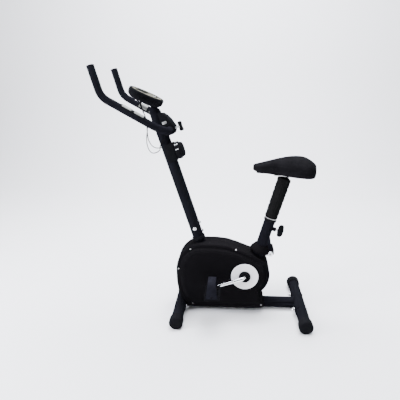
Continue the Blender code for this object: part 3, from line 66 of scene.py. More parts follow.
# ---------------------------------------------------------------- sensor leads
# Two thin black leads hang from the console's back in front of the post: one loops
# up to the handlebar's sensors, one goes down inside the post to the flywheel.
def noise_group():
    """Fine moulded or sprayed skin: two sizes of noise give a height and a mottle."""
    group = bpy.data.node_groups.new("skin", "ShaderNodeTree")
    face = group.interface
    face.new_socket("Vector", in_out="INPUT", socket_type="NodeSocketVector")
    face.new_socket("Grain", in_out="INPUT", socket_type="NodeSocketFloat")
    face.new_socket("Cloud", in_out="INPUT", socket_type="NodeSocketFloat")
    face.new_socket("Height", in_out="OUTPUT", socket_type="NodeSocketFloat")
    face.new_socket("Mottle", in_out="OUTPUT", socket_type="NodeSocketFloat")
    start = group.nodes.new("NodeGroupInput")
    end = group.nodes.new("NodeGroupOutput")
    fine = group.nodes.new("ShaderNodeTexNoise")
    fine.inputs["Detail"].default_value = 3.0
    broad = group.nodes.new("ShaderNodeTexNoise")
    broad.inputs["Detail"].default_value = 5.0
    broad.inputs["Roughness"].default_value = 0.62
    for node, socket in ((fine, "Grain"), (broad, "Cloud")):
        group.links.new(start.outputs["Vector"], node.inputs["Vector"])
        group.links.new(start.outputs[socket], node.inputs["Scale"])
    group.links.new(fine.outputs["Fac"], end.inputs["Height"])
    group.links.new(broad.outputs["Fac"], end.inputs["Mottle"])
    return group


def dust_group():
    """Settled dust: thick on what faces up, broken into specks by noise."""
    group = bpy.data.node_groups.new("settled_dust", "ShaderNodeTree")
    face = group.interface
    face.new_socket("Vector", in_out="INPUT", socket_type="NodeSocketVector")
    face.new_socket("Amount", in_out="INPUT", socket_type="NodeSocketFloat")
    face.new_socket("Mask", in_out="OUTPUT", socket_type="NodeSocketFloat")
    start = group.nodes.new("NodeGroupInput")
    end = group.nodes.new("NodeGroupOutput")
    facing = group.nodes.new("ShaderNodeNewGeometry")
    split = group.nodes.new("ShaderNodeSeparateXYZ")
    up = group.nodes.new("ShaderNodeMapRange")
    up.inputs["From Min"].default_value = 0.1
    specks = group.nodes.new("ShaderNodeTexNoise")
    specks.inputs["Scale"].default_value = 260.0
    specks.inputs["Detail"].default_value = 6.0
    speck_edge = group.nodes.new("ShaderNodeMapRange")
    speck_edge.inputs["From Min"].default_value = 0.42
    speck_edge.inputs["From Max"].default_value = 0.75
    both = group.nodes.new("ShaderNodeMath")
    both.operation = "MULTIPLY"
    amount = group.nodes.new("ShaderNodeMath")
    amount.operation = "MULTIPLY"
    link = group.links.new
    link(facing.outputs["Normal"], split.inputs[0])
    link(split.outputs["Z"], up.inputs["Value"])
    link(start.outputs["Vector"], specks.inputs["Vector"])
    link(specks.outputs["Fac"], speck_edge.inputs["Value"])
    link(up.outputs["Result"], both.inputs[0])
    link(speck_edge.outputs["Result"], both.inputs[1])
    link(both.outputs[0], amount.inputs[0])
    link(start.outputs["Amount"], amount.inputs[1])
    link(amount.outputs[0], end.inputs["Mask"])
    return group


SKIN = noise_group()
DUST = dust_group()


def finish_of(name, colour, rough, metal=0.0, grain=900.0, depth=0.02, cloud=14.0, vary=0.25,
              rough_vary=0.18, dust=0.0, coat=0.0, sheen=0.0, shine=None):
    """A surface: colour and roughness drift with a mottle, grain stands up as a bump.

    With shine, the plain specular is turned off and the clear layer's roughness follows the mottle; the
    layer's weight is set to shine, then set again to coat.
    """
    material = bpy.data.materials.new(name)
    material.use_nodes = True
    tree = material.node_tree
    link = tree.links.new
    shader = tree.nodes["Principled BSDF"]
    shader.inputs["Metallic"].default_value = metal
    if shine is not None:
        shader.inputs["Specular IOR Level"].default_value = 0.0
        shader.inputs["Coat Weight"].default_value = shine
    shader.inputs["Coat Weight"].default_value = coat
    shader.inputs["Coat Roughness"].default_value = 0.12
    shader.inputs["Sheen Weight"].default_value = sheen
    place = tree.nodes.new("ShaderNodeTexCoord")
    skin = tree.nodes.new("ShaderNodeGroup")
    skin.node_tree = SKIN
    skin.inputs["Grain"].default_value = grain
    skin.inputs["Cloud"].default_value = cloud
    link(place.outputs["Object"], skin.inputs["Vector"])
    tone = tree.nodes.new("ShaderNodeValToRGB")
    dark = [c * (1 - vary) for c in colour]
    light = [min(1.0, c * (1 + vary)) for c in colour]
    tone.color_ramp.elements[0].position = 0.3
    tone.color_ramp.elements[1].position = 0.7
    tone.color_ramp.elements[0].color = (*dark, 1)
    tone.color_ramp.elements[1].color = (*light, 1)
    link(skin.outputs["Mottle"], tone.inputs["Fac"])
    gloss = tree.nodes.new("ShaderNodeMapRange")
    gloss.inputs["From Min"].default_value = 0.3
    gloss.inputs["From Max"].default_value = 0.7
    gloss.inputs["To Min"].default_value = rough * (1 - rough_vary)
    gloss.inputs["To Max"].default_value = min(1.0, rough * (1 + rough_vary))
    link(skin.outputs["Mottle"], gloss.inputs["Value"])
    last_tone = tone.outputs["Color"]
    last_gloss = gloss.outputs["Result"]
    if dust:
        lying = tree.nodes.new("ShaderNodeGroup")
        lying.node_tree = DUST
        lying.inputs["Amount"].default_value = dust
        link(place.outputs["Object"], lying.inputs["Vector"])
        over = tree.nodes.new("ShaderNodeMix")
        over.data_type = "RGBA"
        over.inputs["B"].default_value = (0.30, 0.28, 0.25, 1)
        link(lying.outputs["Mask"], over.inputs["Factor"])
        link(last_tone, over.inputs["A"])
        last_tone = over.outputs["Result"]
        dull = tree.nodes.new("ShaderNodeMix")
        dull.inputs["B"].default_value = 0.9
        link(lying.outputs["Mask"], dull.inputs["Factor"])
        link(last_gloss, dull.inputs["A"])
        last_gloss = dull.outputs["Result"]
    link(last_tone, shader.inputs["Base Color"])
    link(last_gloss, shader.inputs["Roughness"])
    if shine is not None:
        link(last_gloss, shader.inputs["Coat Roughness"])
    bump = tree.nodes.new("ShaderNodeBump")
    bump.inputs["Strength"].default_value = min(1.0, depth * 10)
    bump.inputs["Distance"].default_value = 0.0004
    link(skin.outputs["Height"], bump.inputs["Height"])
    link(bump.outputs["Normal"], shader.inputs["Normal"])
    return material


def smooth_route(points, steps):
    """Catmull-Rom curve through points: each span is a cubic of its four neighbours."""
    points = np.array(points, float)
    padded = np.vstack([2 * points[0] - points[1], points, 2 * points[-1] - points[-2]])
    share = (np.arange(steps) / steps)[:, None]
    spans = []
    for a, b, c, d in zip(padded, padded[1:], padded[2:], padded[3:]):
        spans.append(0.5 * (2 * b + (c - a) * share + (2 * a - 5 * b + 4 * c - d) * share ** 2
                            + (3 * b - a - 3 * c + d) * share ** 3))
    return np.vstack(spans + [points[-1:]])


def lead(name, points, diameter, material):
    """Round wire along a route: a poly curve with a bevel and closed ends."""
    route = smooth_route(points, 5)
    curve = bpy.data.curves.new(name, "CURVE")
    curve.dimensions = "3D"
    curve.bevel_depth = diameter / 2
    curve.bevel_resolution = 4
    curve.use_fill_caps = True
    spline = curve.splines.new("POLY")
    spline.points.add(len(route) - 1)
    spline.points.foreach_set("co", np.hstack([route, np.ones((len(route), 1))]).ravel())
    curve.materials.append(material)
    wire = bpy.data.objects.new(name, curve)
    bpy.context.scene.collection.objects.link(wire)
    length = np.linalg.norm(np.diff(route, axis=0), axis=1).sum()
    return wire, float(length)


LEAD_RUBBER = finish_of("lead_rubber", (0.006, 0.006, 0.006), 0.5, grain=1800, depth=0.01, shine=0.2)
lead_diameter = 0.004
bike_shift = 0.1385
pulse_route = [(-0.4256, -0.0040, 0.9622), (-0.4294, -0.0040, 0.9541), (-0.4300, -0.0040, 0.9430),
               (-0.4210, -0.0040, 0.9200), (-0.4110, -0.0030, 0.8950), (-0.4065, -0.0020, 0.8700),
               (-0.4055, -0.0010, 0.8440), (-0.4105, 0.0000, 0.8100), (-0.4105, 0.0000, 0.7780),
               (-0.4020, 0.0000, 0.7520), (-0.3870, 0.0000, 0.7395), (-0.3690, 0.0000, 0.7430),
               (-0.3550, -0.0030, 0.7535), (-0.3503, -0.0155, 0.7700), (-0.3424, -0.0269, 0.7870),
               (-0.3317, -0.0303, 0.7995), (-0.3257, -0.0300, 0.8050)]
speed_route = [(-0.4256, 0.0100, 0.9622), (-0.4294, 0.0100, 0.9541), (-0.4298, 0.0100, 0.9430),
               (-0.4230, 0.0105, 0.9200), (-0.4150, 0.0110, 0.8950), (-0.4110, 0.0110, 0.8700),
               (-0.4100, 0.0120, 0.8440), (-0.4085, 0.0120, 0.8100), (-0.4030, 0.0120, 0.7880),
               (-0.3910, 0.0120, 0.7700), (-0.3760, 0.0120, 0.7610), (-0.3600, 0.0120, 0.7600),
               (-0.3468, 0.0120, 0.7620)]
for lead_name, lead_route in (("pulse_lead", pulse_route), ("speed_lead", speed_route)):
    lead_points = np.array(lead_route) + (bike_shift, 0, 0)
    wire, wire_length = lead(lead_name + "_wire", lead_points, lead_diameter, LEAD_RUBBER)
    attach(wire, "frame")
    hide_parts(lead_name)


# ---------------------------------------------------------------- base: tubes, caps and bolts
# Round steel tubes in black enamel: one along the floor and two across it, which are
# bolted on. Moulded caps on the cross tubes stand on the floor.
def mesh_piece(name, points, faces, material, crease=35.0, outward=True):
    """Solid from corner points and faces: doubles merged, normals out, edges over crease sharp."""
    mesh = bpy.data.meshes.new(name)
    mesh.from_pydata(np.asarray(points, float).tolist(), [], [list(f) for f in faces])
    bm = bmesh.new()
    bm.from_mesh(mesh)
    bmesh.ops.remove_doubles(bm, verts=bm.verts, dist=1e-6)
    bmesh.ops.dissolve_degenerate(bm, edges=bm.edges, dist=1e-7)
    if outward:
        bmesh.ops.recalc_face_normals(bm, faces=bm.faces)
    bm.to_mesh(mesh)
    bm.free()
    mesh.polygons.foreach_set("use_smooth", np.ones(len(mesh.polygons), bool))
    mesh.set_sharp_from_angle(angle=math.radians(crease))
    mesh.materials.append(material)
    made = bpy.data.objects.new(name, mesh)
    bpy.context.scene.collection.objects.link(made)
    return made


def wrapped(grid, start=0, ends=True, loop=False):
    """Quads over a rows x columns grid whose columns close round, with a fan-free end at each end."""
    rows, columns = grid.shape[:2]
    index = start + np.arange(rows * columns).reshape(rows, columns)
    across = np.roll(index, -1, axis=1)
    if loop:
        low, high = index, np.roll(index, -1, axis=0)
        low_next, high_next = across, np.roll(across, -1, axis=0)
    else:
        low, high, low_next, high_next = index[:-1], index[1:], across[:-1], across[1:]
    faces = np.stack([low, low_next, high_next, high], -1).reshape(-1, 4).tolist()
    if ends and not loop:
        faces += [index[0][::-1].tolist(), index[-1].tolist()]
    return faces


def joined(*grids):
    """Several closed grids as one set of points and faces."""
    points = []
    faces = []
    for grid, options in grids:
        faces += wrapped(grid, start=sum(len(p) for p in points), **options)
        points.append(grid.reshape(-1, 3))
    return np.vstack(points), faces


def eased(corners, radii, steps=4):
    """Line through corners with each inner corner turned into an arc of its radius."""
    corners = np.array(corners, float)
    radii = np.broadcast_to(radii, len(corners) - 2)
    line = [corners[:1]]
    for before, corner, after, radius in zip(corners, corners[1:], corners[2:], radii):
        back = before - corner
        on = after - corner
        back_length, on_length = np.linalg.norm(back), np.linalg.norm(on)
        back, on = back / back_length, on / on_length
        half_turn = math.acos(float(np.clip(back @ on, -1, 1))) / 2
        reach = min(radius / math.tan(half_turn), 0.48 * back_length, 0.48 * on_length)
        share = np.linspace(0, 1, steps + 1)[:, None]
        start, end = corner + back * reach, corner + on * reach
        middle = start + end - 2 * corner
        if np.linalg.norm(middle) < 1e-9:
            line.append(corner[None])
            continue
        radius = reach * math.tan(half_turn)
        centre = corner + middle / np.linalg.norm(middle) * radius / math.sin(half_turn)
        sweep_angle = math.pi - 2 * half_turn
        a, b = start - centre, end - centre
        if sweep_angle < 1e-3:
            line.append(corner[None])
            continue
        line.append(centre + (np.sin((1 - share) * sweep_angle) * a + np.sin(share * sweep_angle) * b)
                    / math.sin(sweep_angle))
    return np.vstack(line + [corners[-1:]])


def placed(points, origin, lean=0.0, axis="Z"):
    """Points drawn round local Z are laid along axis, leant about Y and moved to origin."""
    points = np.asarray(points, float)
    x, y, z = points[..., 0], points[..., 1], points[..., 2]
    if axis == "X":
        x, y, z = z, y, -x
    elif axis == "Y":
        x, y, z = x, z, -y
    elif axis == "-Y":
        x, y, z = x, -z, y
    turned_x = x * math.cos(lean) + z * math.sin(lean)
    turned_z = z * math.cos(lean) - x * math.sin(lean)
    return np.stack([turned_x, y, turned_z], -1) + np.asarray(origin, float)


def turned_grid(profile, segments=64):
    """Surface of revolution: each (radius, height) of the profile goes round local Z."""
    profile = np.asarray(profile, float)
    angle = np.linspace(0, 2 * math.pi, segments, endpoint=False)
    radius, height = profile[:, :1], profile[:, 1:2]
    return np.stack([radius * np.cos(angle), radius * np.sin(angle),
                     height + 0 * angle], -1)


def turned(name, profile, material, origin, lean=0.0, axis="Z", segments=64, ease=0.0006,
           crease=35.0, hollow=False):
    """Turned solid whose profile's corners are eased by a small radius."""
    profile = np.array(profile, float)
    if ease:
        if hollow:
            profile = np.vstack([profile, profile[:1]])
        profile = eased(profile, ease, 3)
        if hollow:
            profile = profile[:-1]
    grid = placed(turned_grid(profile, segments), origin, lean, axis)
    points, faces = joined((grid, {"loop": hollow, "ends": not hollow}))
    return mesh_piece(name, points, faces, material, crease)


def swept_grid(path, radius, segments=32):
    """Round bar along a path: a circle carried in a frame that never twists."""
    path = np.asarray(path, float)
    radius = np.broadcast_to(radius, len(path))
    tangent = np.gradient(path, axis=0)
    tangent /= np.linalg.norm(tangent, axis=1)[:, None]
    side = np.cross(tangent[0], (0.0, 1.0, 0.0))
    if np.linalg.norm(side) < 0.2:
        side = np.cross(tangent[0], (1.0, 0.0, 0.0))
    sides = []
    for direction in tangent:
        side = side - direction * (side @ direction)
        side = side / np.linalg.norm(side)
        sides.append(side)
    sides = np.array(sides)
    other = np.cross(tangent, sides)
    angle = np.linspace(0, 2 * math.pi, segments, endpoint=False)
    ring = (sides[:, None] * np.cos(angle)[None, :, None] + other[:, None] * np.sin(angle)[None, :, None])
    return path[:, None] + ring * radius[:, None, None]


def ridden(made, body, slot, *nodes):
    """The piece rides on a body and stands for CAD nodes, which it hides; slot is not used."""
    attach(made, body)
    if nodes:
        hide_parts(*nodes)
    return made


ENAMEL = finish_of("black_enamel", (0.006, 0.006, 0.008), 0.30, grain=260, depth=0.012, cloud=9,
                   vary=0.2, rough_vary=0.25, dust=0.015, shine=0.5)
CAP_PLASTIC = finish_of("cap_plastic", (0.006, 0.006, 0.007), 0.45, grain=1300, depth=0.04, dust=0.015,
                        shine=0.25)
CHROME = finish_of("chrome_plate", (0.78, 0.78, 0.79), 0.10, metal=1.0, grain=500, depth=0.004,
                   cloud=30, vary=0.06, rough_vary=0.5)
ZINC = finish_of("zinc_plate", (0.52, 0.52, 0.51), 0.34, metal=1.0, grain=700, depth=0.02, vary=0.15)
tube_radius = 0.0254
axis_height = 0.0299
stabiliser_x = {"front": -0.1395, "rear": 0.4165}
cap_half_span = 0.215
cap_length = 0.044
cap_radius = 0.0307
for place, x in stabiliser_x.items():
    low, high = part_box(f"{place}_stabiliser")
    tube = turned(f"{place}_cross_tube", [(0, low.y), (tube_radius, low.y), (tube_radius, high.y),
                                          (0, high.y)],
                  ENAMEL, (x, 0, axis_height), axis="Y", segments=72)
    ridden(tube, "frame", "black_paint", f"{place}_stabiliser")
    for hand, sign in (("left", -1), ("right", 1)):
        inner, outer = cap_half_span - cap_length, cap_half_span
        profile = [(tube_radius + 0.0003, inner), (cap_radius - 0.0018, inner),
                   (cap_radius - 0.0006, inner + 0.006),
                   (cap_radius - 0.0006, inner + 0.009), (cap_radius, inner + 0.010),
                   (cap_radius, outer - 0.006),
                   (cap_radius - 0.0035, outer - 0.001), (0, outer)]
        grid = turned_grid(eased(profile, 0.0022, 4), 72)
        grid = placed(grid, (x, 0, axis_height), axis="Y" if sign > 0 else "-Y")
        grid[..., 2] = np.maximum(grid[..., 2], 0.0)
        points, faces = joined((grid, {}))
        cap = mesh_piece(f"{place}_{hand}_foot_cap", points, faces, CAP_PLASTIC)
        ridden(cap, "frame", "black_plastic", f"{place}_{hand}_cap")

cap_nut_radius = 0.0085
for place, x, facing in (("front", stabiliser_x["front"], 1), ("rear", stabiliser_x["rear"], -1)):
    for hand, sign in (("left", -1), ("right", 1)):
        seat = tube_radius + 0.0036
        head = -tube_radius - 0.0003
        dome = [(0, head - 0.0045), (0.0045, head - 0.0040), (0.0075, head - 0.0020), (0.0085, head)]
        stem = [(0.004, head), (0.004, seat), (cap_nut_radius, seat), (cap_nut_radius, seat + 0.002)]
        nut = [(0.0068, seat + 0.0025), (0.0068, seat + 0.007), (0.0062, seat + 0.009),
               (0.0045, seat + 0.0115),
               (0.0022, seat + 0.0127), (0, seat + 0.013)]
        grid = turned_grid(eased(dome + stem + nut, 0.0004, 2), 48)
        hexagon = 1 / np.cos((np.linspace(0, 2 * np.pi, 48,
                                          endpoint=False) + np.pi / 6) % (np.pi / 3) - np.pi / 6)
        on_nut = (grid[..., 2] > seat + 0.0022) & (grid[..., 2] < seat + 0.0078)
        grid[..., :2] *= np.where(on_nut, hexagon[None, :], 1.0)[..., None]
        grid = placed(grid, (0, 0, 0), axis="X")
        if facing < 0:
            grid = grid * (-1, -1, 1)
        points, faces = joined((grid + (x, sign * 0.066, axis_height), {}))
        bolt = mesh_piece(f"{place}_{hand}_carriage_bolt", points, faces, CHROME, 28)
        ridden(bolt, "frame", "chrome", f"{place}_{hand}_bolt")


def refined(node, name, material, body, slot, crease=40.0, bevel=0.0):
    """Copy of a CAD node with its doubles merged, small bevels cut and its faces smoothed."""
    mesh = NODES[node].data.copy()
    bm = bmesh.new()
    bm.from_mesh(mesh)
    bmesh.ops.remove_doubles(bm, verts=bm.verts, dist=1e-5)
    bmesh.ops.dissolve_limit(bm, angle_limit=math.radians(1.0), verts=bm.verts, edges=bm.edges)
    if bevel:
        sharp = [e for e in bm.edges
                 if len(e.link_faces) == 2 and e.calc_face_angle(0) > math.radians(crease)]
        bmesh.ops.bevel(bm, geom=sharp, offset=bevel, segments=2, profile=0.6, affect="EDGES",
                        clamp_overlap=True)
    bmesh.ops.triangulate(bm, faces=[f for f in bm.faces if len(f.verts) > 4])
    bm.to_mesh(mesh)
    bm.free()
    mesh.polygons.foreach_set("use_smooth", np.ones(len(mesh.polygons), bool))
    mesh.set_sharp_from_angle(angle=math.radians(crease))
    mesh.materials.clear()
    mesh.materials.append(material)
    made = bpy.data.objects.new(name, mesh)
    bpy.context.scene.collection.objects.link(made)
    return ridden(made, body, slot, node)


refined("main_tube", "floor_spine", ENAMEL, "frame", "black_paint")

# ---------------------------------------------------------------- front post
# A stub welded to the spine and the handlebar post that slips over it, leaning to the
# front. Four screws and a moulded collar hold them; the screws are plated.
post_lean = math.radians(-17.5)
post_origin = np.array([0.0485, 0.0, 0.0299])
post_radius = 0.025
post_foot, post_top = 0.345, 0.924


post_profile = [(0, post_foot), (post_radius, post_foot), (post_radius, post_top), (0, post_top)]
post = turned("post_tube", post_profile, ENAMEL, post_origin, post_lean, segments=80)
ridden(post, "frame", "black_paint", "handlebar_post")
refined("post_stub", "welded_stub", ENAMEL, "frame", "black_paint")
collar = turned("post_foot_collar", [(0.0225, post_foot - 0.016), (0.029, post_foot - 0.015),
                (0.0295, post_foot - 0.011), (0.029, post_foot - 0.001), (0.0275, post_foot - 0.0003),
                (0.0225, post_foot - 0.0003)], CAP_PLASTIC, post_origin, post_lean, hollow=True, ease=0.0012)
ridden(collar, "frame", "black_plastic", "post_collar")
for screw_node in ("post_lower_screw", "post_upper_screw", "post_left_screw", "post_right_screw"):
    refined(screw_node, screw_node.replace("screw", "hex_screw"), CHROME, "frame", "chrome", bevel=0.0004)

# ---------------------------------------------------------------- casing
# Two black mouldings meet on the bike's middle: a rounded rim, a step and a raised
# panel on each side, screwed together at the rim through sunk holes.
CASING_PLASTIC = finish_of("casing_plastic", (0.0045, 0.0042, 0.0048), 0.34, grain=1500, depth=0.03, cloud=7,
                           vary=0.15, rough_vary=0.2, dust=0.015, shine=0.3)
axle_x, axle_z = 0.0199, 0.1924
casing_rear, casing_front, casing_bottom, casing_top = 0.113, -0.292, 0.022, 0.335


def casing_outline(inset, count=360):
    """Side outline: arc round the crank, sloping back, domed front and square foot, moved in by inset."""
    def arc(cx, cz, rx, rz, start, end, steps):
        angle = np.radians(np.linspace(start, end, steps))
        return np.stack([cx + rx * np.cos(angle), cz + rz * np.sin(angle)], -1)

    rear = casing_rear - inset
    front = casing_front + inset
    bottom = casing_bottom + inset
    top = casing_top - inset
    corner = 0.115 - inset
    foot = 0.022 - inset * 0.5
    heel = axle_x + 0.094 - inset
    round_crank = arc(axle_x, axle_z, rear, rear, -52, 32, 30)
    slope = np.array([(0.088 - 0.5 * inset, 0.268 - inset), (0.050 - 0.3 * inset, 0.288 - inset),
                      (-0.010, 0.312 - inset), (-0.060, top - 0.006), (-0.110, top), (-0.150, top)])
    dome = arc(front + corner, top - corner * 1.1, corner, corner * 1.1, 94, 180, 30)
    toe = arc(front + 0.070, bottom + 0.1560, 0.070, 0.1595, 180, 258, 24)
    back = arc(heel - foot, bottom + foot, foot, foot, 270, 360, 10)
    line = np.vstack([round_crank, slope, dome, toe, back, round_crank[:1]])
    run = np.concatenate([[0], np.cumsum(np.linalg.norm(np.diff(line, axis=0), axis=1))])
    even = np.linspace(0, run[-1], count, endpoint=False)
    line = np.stack([np.interp(even, run, line[:, 0]), np.interp(even, run, line[:, 1])], -1)
    weight = np.array([1, 4, 6, 4, 1.0]) / 16
    for _ in range(3):
        line = sum(w * np.roll(line, k - 2, axis=0) for k, w in enumerate(weight))
    return line + (bike_shift, 0)


def in_solid(made, *tools):
    """The piece with each tool's solid taken out of it, and the tools thrown away."""
    for tool in tools:
        cutter = made.modifiers.new("cut", "BOOLEAN")
        cutter.operation = "DIFFERENCE"
        cutter.solver = "EXACT"
        cutter.object = tool
    bpy.context.view_layer.update()
    shape = made.evaluated_get(bpy.context.evaluated_depsgraph_get())
    mesh = bpy.data.meshes.new_from_object(shape)
    made.modifiers.clear()
    made.data = mesh
    mesh.polygons.foreach_set("use_smooth", np.ones(len(mesh.polygons), bool))
    mesh.set_sharp_from_angle(angle=math.radians(32))
    for tool in tools:
        bpy.data.objects.remove(tool)
    return made


def bar_tool(radius, low, high, origin, lean=0.0, axis="Z"):
    """A plain round bar to cut with."""
    grid = placed(turned_grid([(radius, low), (radius, high)], 64), origin, lean, axis)
    points, faces = joined((grid, {}))
    return mesh_piece("cutting_bar", points, faces, CASING_PLASTIC)


seat_lean = math.radians(16.4)
seat_origin = np.array([0.268, 0.0, 0.436])
crank_origin = np.array([axle_x + bike_shift, 0.0, axle_z])
casing_screws = [(-0.020, 0.3125), (-0.225, 0.3120), (-0.2810, 0.215), (-0.2200, 0.040), (0.098, 0.040)]


def casing_half(name, sign):
    """Rings of the outline at each (inset, width) of a closed section, flat panel at both ends."""
    wall = 0.0028
    outer = eased([(0.0, 0.0003), (0.0, 0.0530), (0.0060, 0.0555), (0.0165, 0.0560), (0.0215, 0.0650),
                   (0.0330, 0.0700), (0.0400, 0.0702)], (0.0070, 0.003, 0.003, 0.010, 0.004), 6)
    inner = [(0.0400, 0.0700 - wall), (0.0285, 0.0690 - wall), (0.0215, 0.0550 - wall),
             (0.0075, 0.0550 - wall), (wall, 0.0500), (wall, 0.0003)]
    section = np.vstack([outer[::-1], inner[::-1]])
    count = 320
    grid = np.zeros((len(section), count, 3))
    for row, (inset, width) in enumerate(section):
        grid[row, :, 0::2] = casing_outline(inset, count)
        grid[row, :, 1] = sign * width
    points, faces = joined((grid, {}))
    made = mesh_piece(name, points, faces, CASING_PLASTIC, 30)
    far = 0.140
    front_x = stabiliser_x["front"]
    tools = [bar_tool(0.0269, -far, far, (front_x, 0, axis_height), axis="Y"),
             bar_tool(0.0269, -0.6, 0.6, (0, 0, axis_height), axis="X"),
             bar_tool(0.0250, 0.15, 0.44, post_origin, post_lean),
             bar_tool(0.0265, -0.3, 0.0, seat_origin, seat_lean),
             bar_tool(0.0140, 0, far, crank_origin, axis="Y" if sign > 0 else "-Y")]
    for x, z in casing_screws:
        tools.append(bar_tool(0.0048, 0.0530, far, (x + bike_shift, 0, z), axis="Y" if sign > 0 else "-Y"))
    return in_solid(made, *tools)


for hand, sign in (("left", -1), ("right", 1)):
    shell = casing_half(f"{hand}_casing_shell", sign)
    ridden(shell, "frame", "black_plastic", f"{hand}_casing")
    for number, (x, z) in enumerate(casing_screws):
        screw = turned(f"{hand}_casing_screw_{number}", [(0, 0.0515), (0.0040, 0.0515), (0.0040, 0.0532),
                       (0.0030, 0.0542), (0.0016, 0.0545), (0.0012, 0.0530), (0, 0.0530)], ZINC,
                       (x + bike_shift, 0, z), axis="Y" if sign > 0 else "-Y", segments=24, ease=0.0002)
        ridden(screw, "frame", "steel")

# ---------------------------------------------------------------- drive inside the casing
# Bottom bracket, bearing, pulleys, belt, flywheel and its brake: plain zinc, cast iron
# and rubber that are seen only through the casing's openings.
RUBBER = finish_of("rubber", (0.008, 0.008, 0.008), 0.7, grain=1600, depth=0.03, dust=0.1)
IRON = finish_of("flywheel_iron", (0.12, 0.12, 0.12), 0.5, metal=1.0, grain=500, depth=0.06)
for node, material in (("bottom_bracket_shell", ZINC), ("crank_bearing", ZINC), ("flywheel_axle", ZINC),
                       ("flywheel_bracket", ZINC), ("brake_shoe", ZINC), ("drive_belt", RUBBER),
                       ("drive_pulley", CAP_PLASTIC), ("flywheel", IRON), ("tension_cable", RUBBER)):
    NODES[node].data.materials.clear()
    NODES[node].data.materials.append(material)

# ---------------------------------------------------------------- crank and its discs
# One steel bar is bent into both arms and the axle, and chromed. A white moulded disc
# with a black hub cover turns with it on each side.
WHITE_DISC = finish_of("white_disc", (0.84, 0.82, 0.82), 0.34, grain=1200, depth=0.01, cloud=20, vary=0.04,
                       dust=0.06)
HUB_PLASTIC = finish_of("hub_plastic", (0.005, 0.005, 0.006), 0.4, grain=1200, depth=0.02, dust=0.015,
                        shine=0.3)
crank_reach, crank_drop = 0.132, math.radians(16.5)
arm_ends = {}
for hand, sign in (("left", -1), ("right", 1)):
    arm_ends[hand] = np.array([sign * crank_reach * math.cos(crank_drop), sign * 0.102,
                               sign * crank_reach * math.sin(crank_drop)])
bar_line = eased([arm_ends["left"], (0, -0.091, 0), (0, 0.091, 0), arm_ends["right"]], (0.019, 0.019), 12)
run = np.concatenate([[0], np.cumsum(np.linalg.norm(np.diff(bar_line, axis=0), axis=1))])
even = np.linspace(0, run[-1], 160)
bar_line = np.stack([np.interp(even, run, bar_line[:, k]) for k in range(3)], -1)
from_end = np.minimum(even, run[-1] - even)
bar_radius = 0.00665 + 0.0018 * np.clip(from_end / 0.10, 0, 1)
parts = [(swept_grid(bar_line, bar_radius, 40) + crank_origin, {})]
for end in arm_ends.values():
    half = 0.00825
    eye = eased([(0, -half), (0.0125, -half), (0.0125, half), (0, half)], (0.002, 0.002), 5)
    parts.append((placed(turned_grid(eye, 56), crank_origin + end, axis="Y"), {}))
points, faces = joined(*parts)
one_piece_crank = mesh_piece("one_piece_crank", points, faces, CHROME, 40)
ridden(one_piece_crank, "crank", "chrome", "crank")
for hand, sign in (("left", -1), ("right", 1)):
    side = "Y" if sign > 0 else "-Y"
    start, rim = 0.0715, 0.061
    disc = turned(f"{hand}_crank_disc", [(0.0115, start), (rim - 0.001, start), (rim, start + 0.0010),
                  (rim, start + 0.0033), (rim - 0.0012, start + 0.0045), (rim - 0.006, start + 0.0045),
                  (rim - 0.007, start + 0.0038), (0.0285, start + 0.0038), (0.0280, start + 0.0030),
                  (0.0115, start + 0.0030)], WHITE_DISC, crank_origin, axis=side, segments=120, hollow=True,
                  ease=0.0005)
    ridden(disc, "crank", "white_plastic", f"{hand}_disc")
    hub = turned(f"{hand}_hub_cover", [(0.0108, start + 0.0031), (0.0260, start + 0.0031),
                 (0.0262, start + 0.0062), (0.0240, start + 0.0086), (0.0150, start + 0.0105),
                 (0.0108, start + 0.0100)], HUB_PLASTIC, crank_origin, axis=side, segments=96, hollow=True,
                 ease=0.0010)
    ridden(hub, "crank", "black_plastic")
    refined(f"{hand}_pedal_spindle", f"{hand}_spindle", ZINC, "crank", "steel")

# ---------------------------------------------------------------- pedals and straps
# A broad moulded platform with raised treads and reflector-free ends, and a wide
# rubber strap pushed over pegs at its two sides. Both hang with their straps up.
PEDAL_PLASTIC = finish_of("pedal_plastic", (0.006, 0.006, 0.007), 0.45, grain=1300, depth=0.05, dust=0.015,
                          shine=0.3)
STRAP_RUBBER = finish_of("strap_rubber", (0.008, 0.008, 0.011), 0.34, grain=900, depth=0.03, cloud=24,
                         dust=0.015, shine=0.5)
pedal_width, pedal_front, pedal_back, pedal_half = 0.088, 0.046, 0.020, 0.012


def slab(outline, low, high, ease):
    """Plate whose rounded outline's rings draw in at both faces, as x, y, z points."""
    outline = np.asarray(outline, float)
    centre = outline.mean(0)
    reach = np.linalg.norm(outline - centre, axis=1, keepdims=True)
    rings = []
    for share in np.linspace(0, math.pi / 2, 4):
        rings.append((ease * (1 - math.sin(share)), low + ease * (1 - math.cos(share))))
    rings += [(inset, high + low - height) for inset, height in rings[::-1]]
    grid = []
    for inset, height in rings:
        drawn = outline - (outline - centre) / reach * inset
        grid.append(np.column_stack([drawn, np.full(len(drawn), height)]))
    return np.array(grid)


def rounded_box(length, width, corner, steps=6):
    """Outline of a rectangle with round corners."""
    outline = []
    for cx, cy, start in ((1, 1, 0), (-1, 1, 90), (-1, -1, 180), (1, -1, 270)):
        angle = np.radians(np.linspace(start, start + 90, steps))
        outline.append(np.column_stack([cx * (length / 2 - corner) + corner * np.cos(angle),
                                        cy * (width / 2 - corner) + corner * np.sin(angle)]))
    return np.vstack(outline)


def boxed(size, centre, corner=0.002, ease=0.0008):
    """Block with round corners and eased edges, as one closed grid."""
    grid = slab(rounded_box(size[0], size[1], corner), -size[2] / 2, size[2] / 2, ease)
    return grid + centre


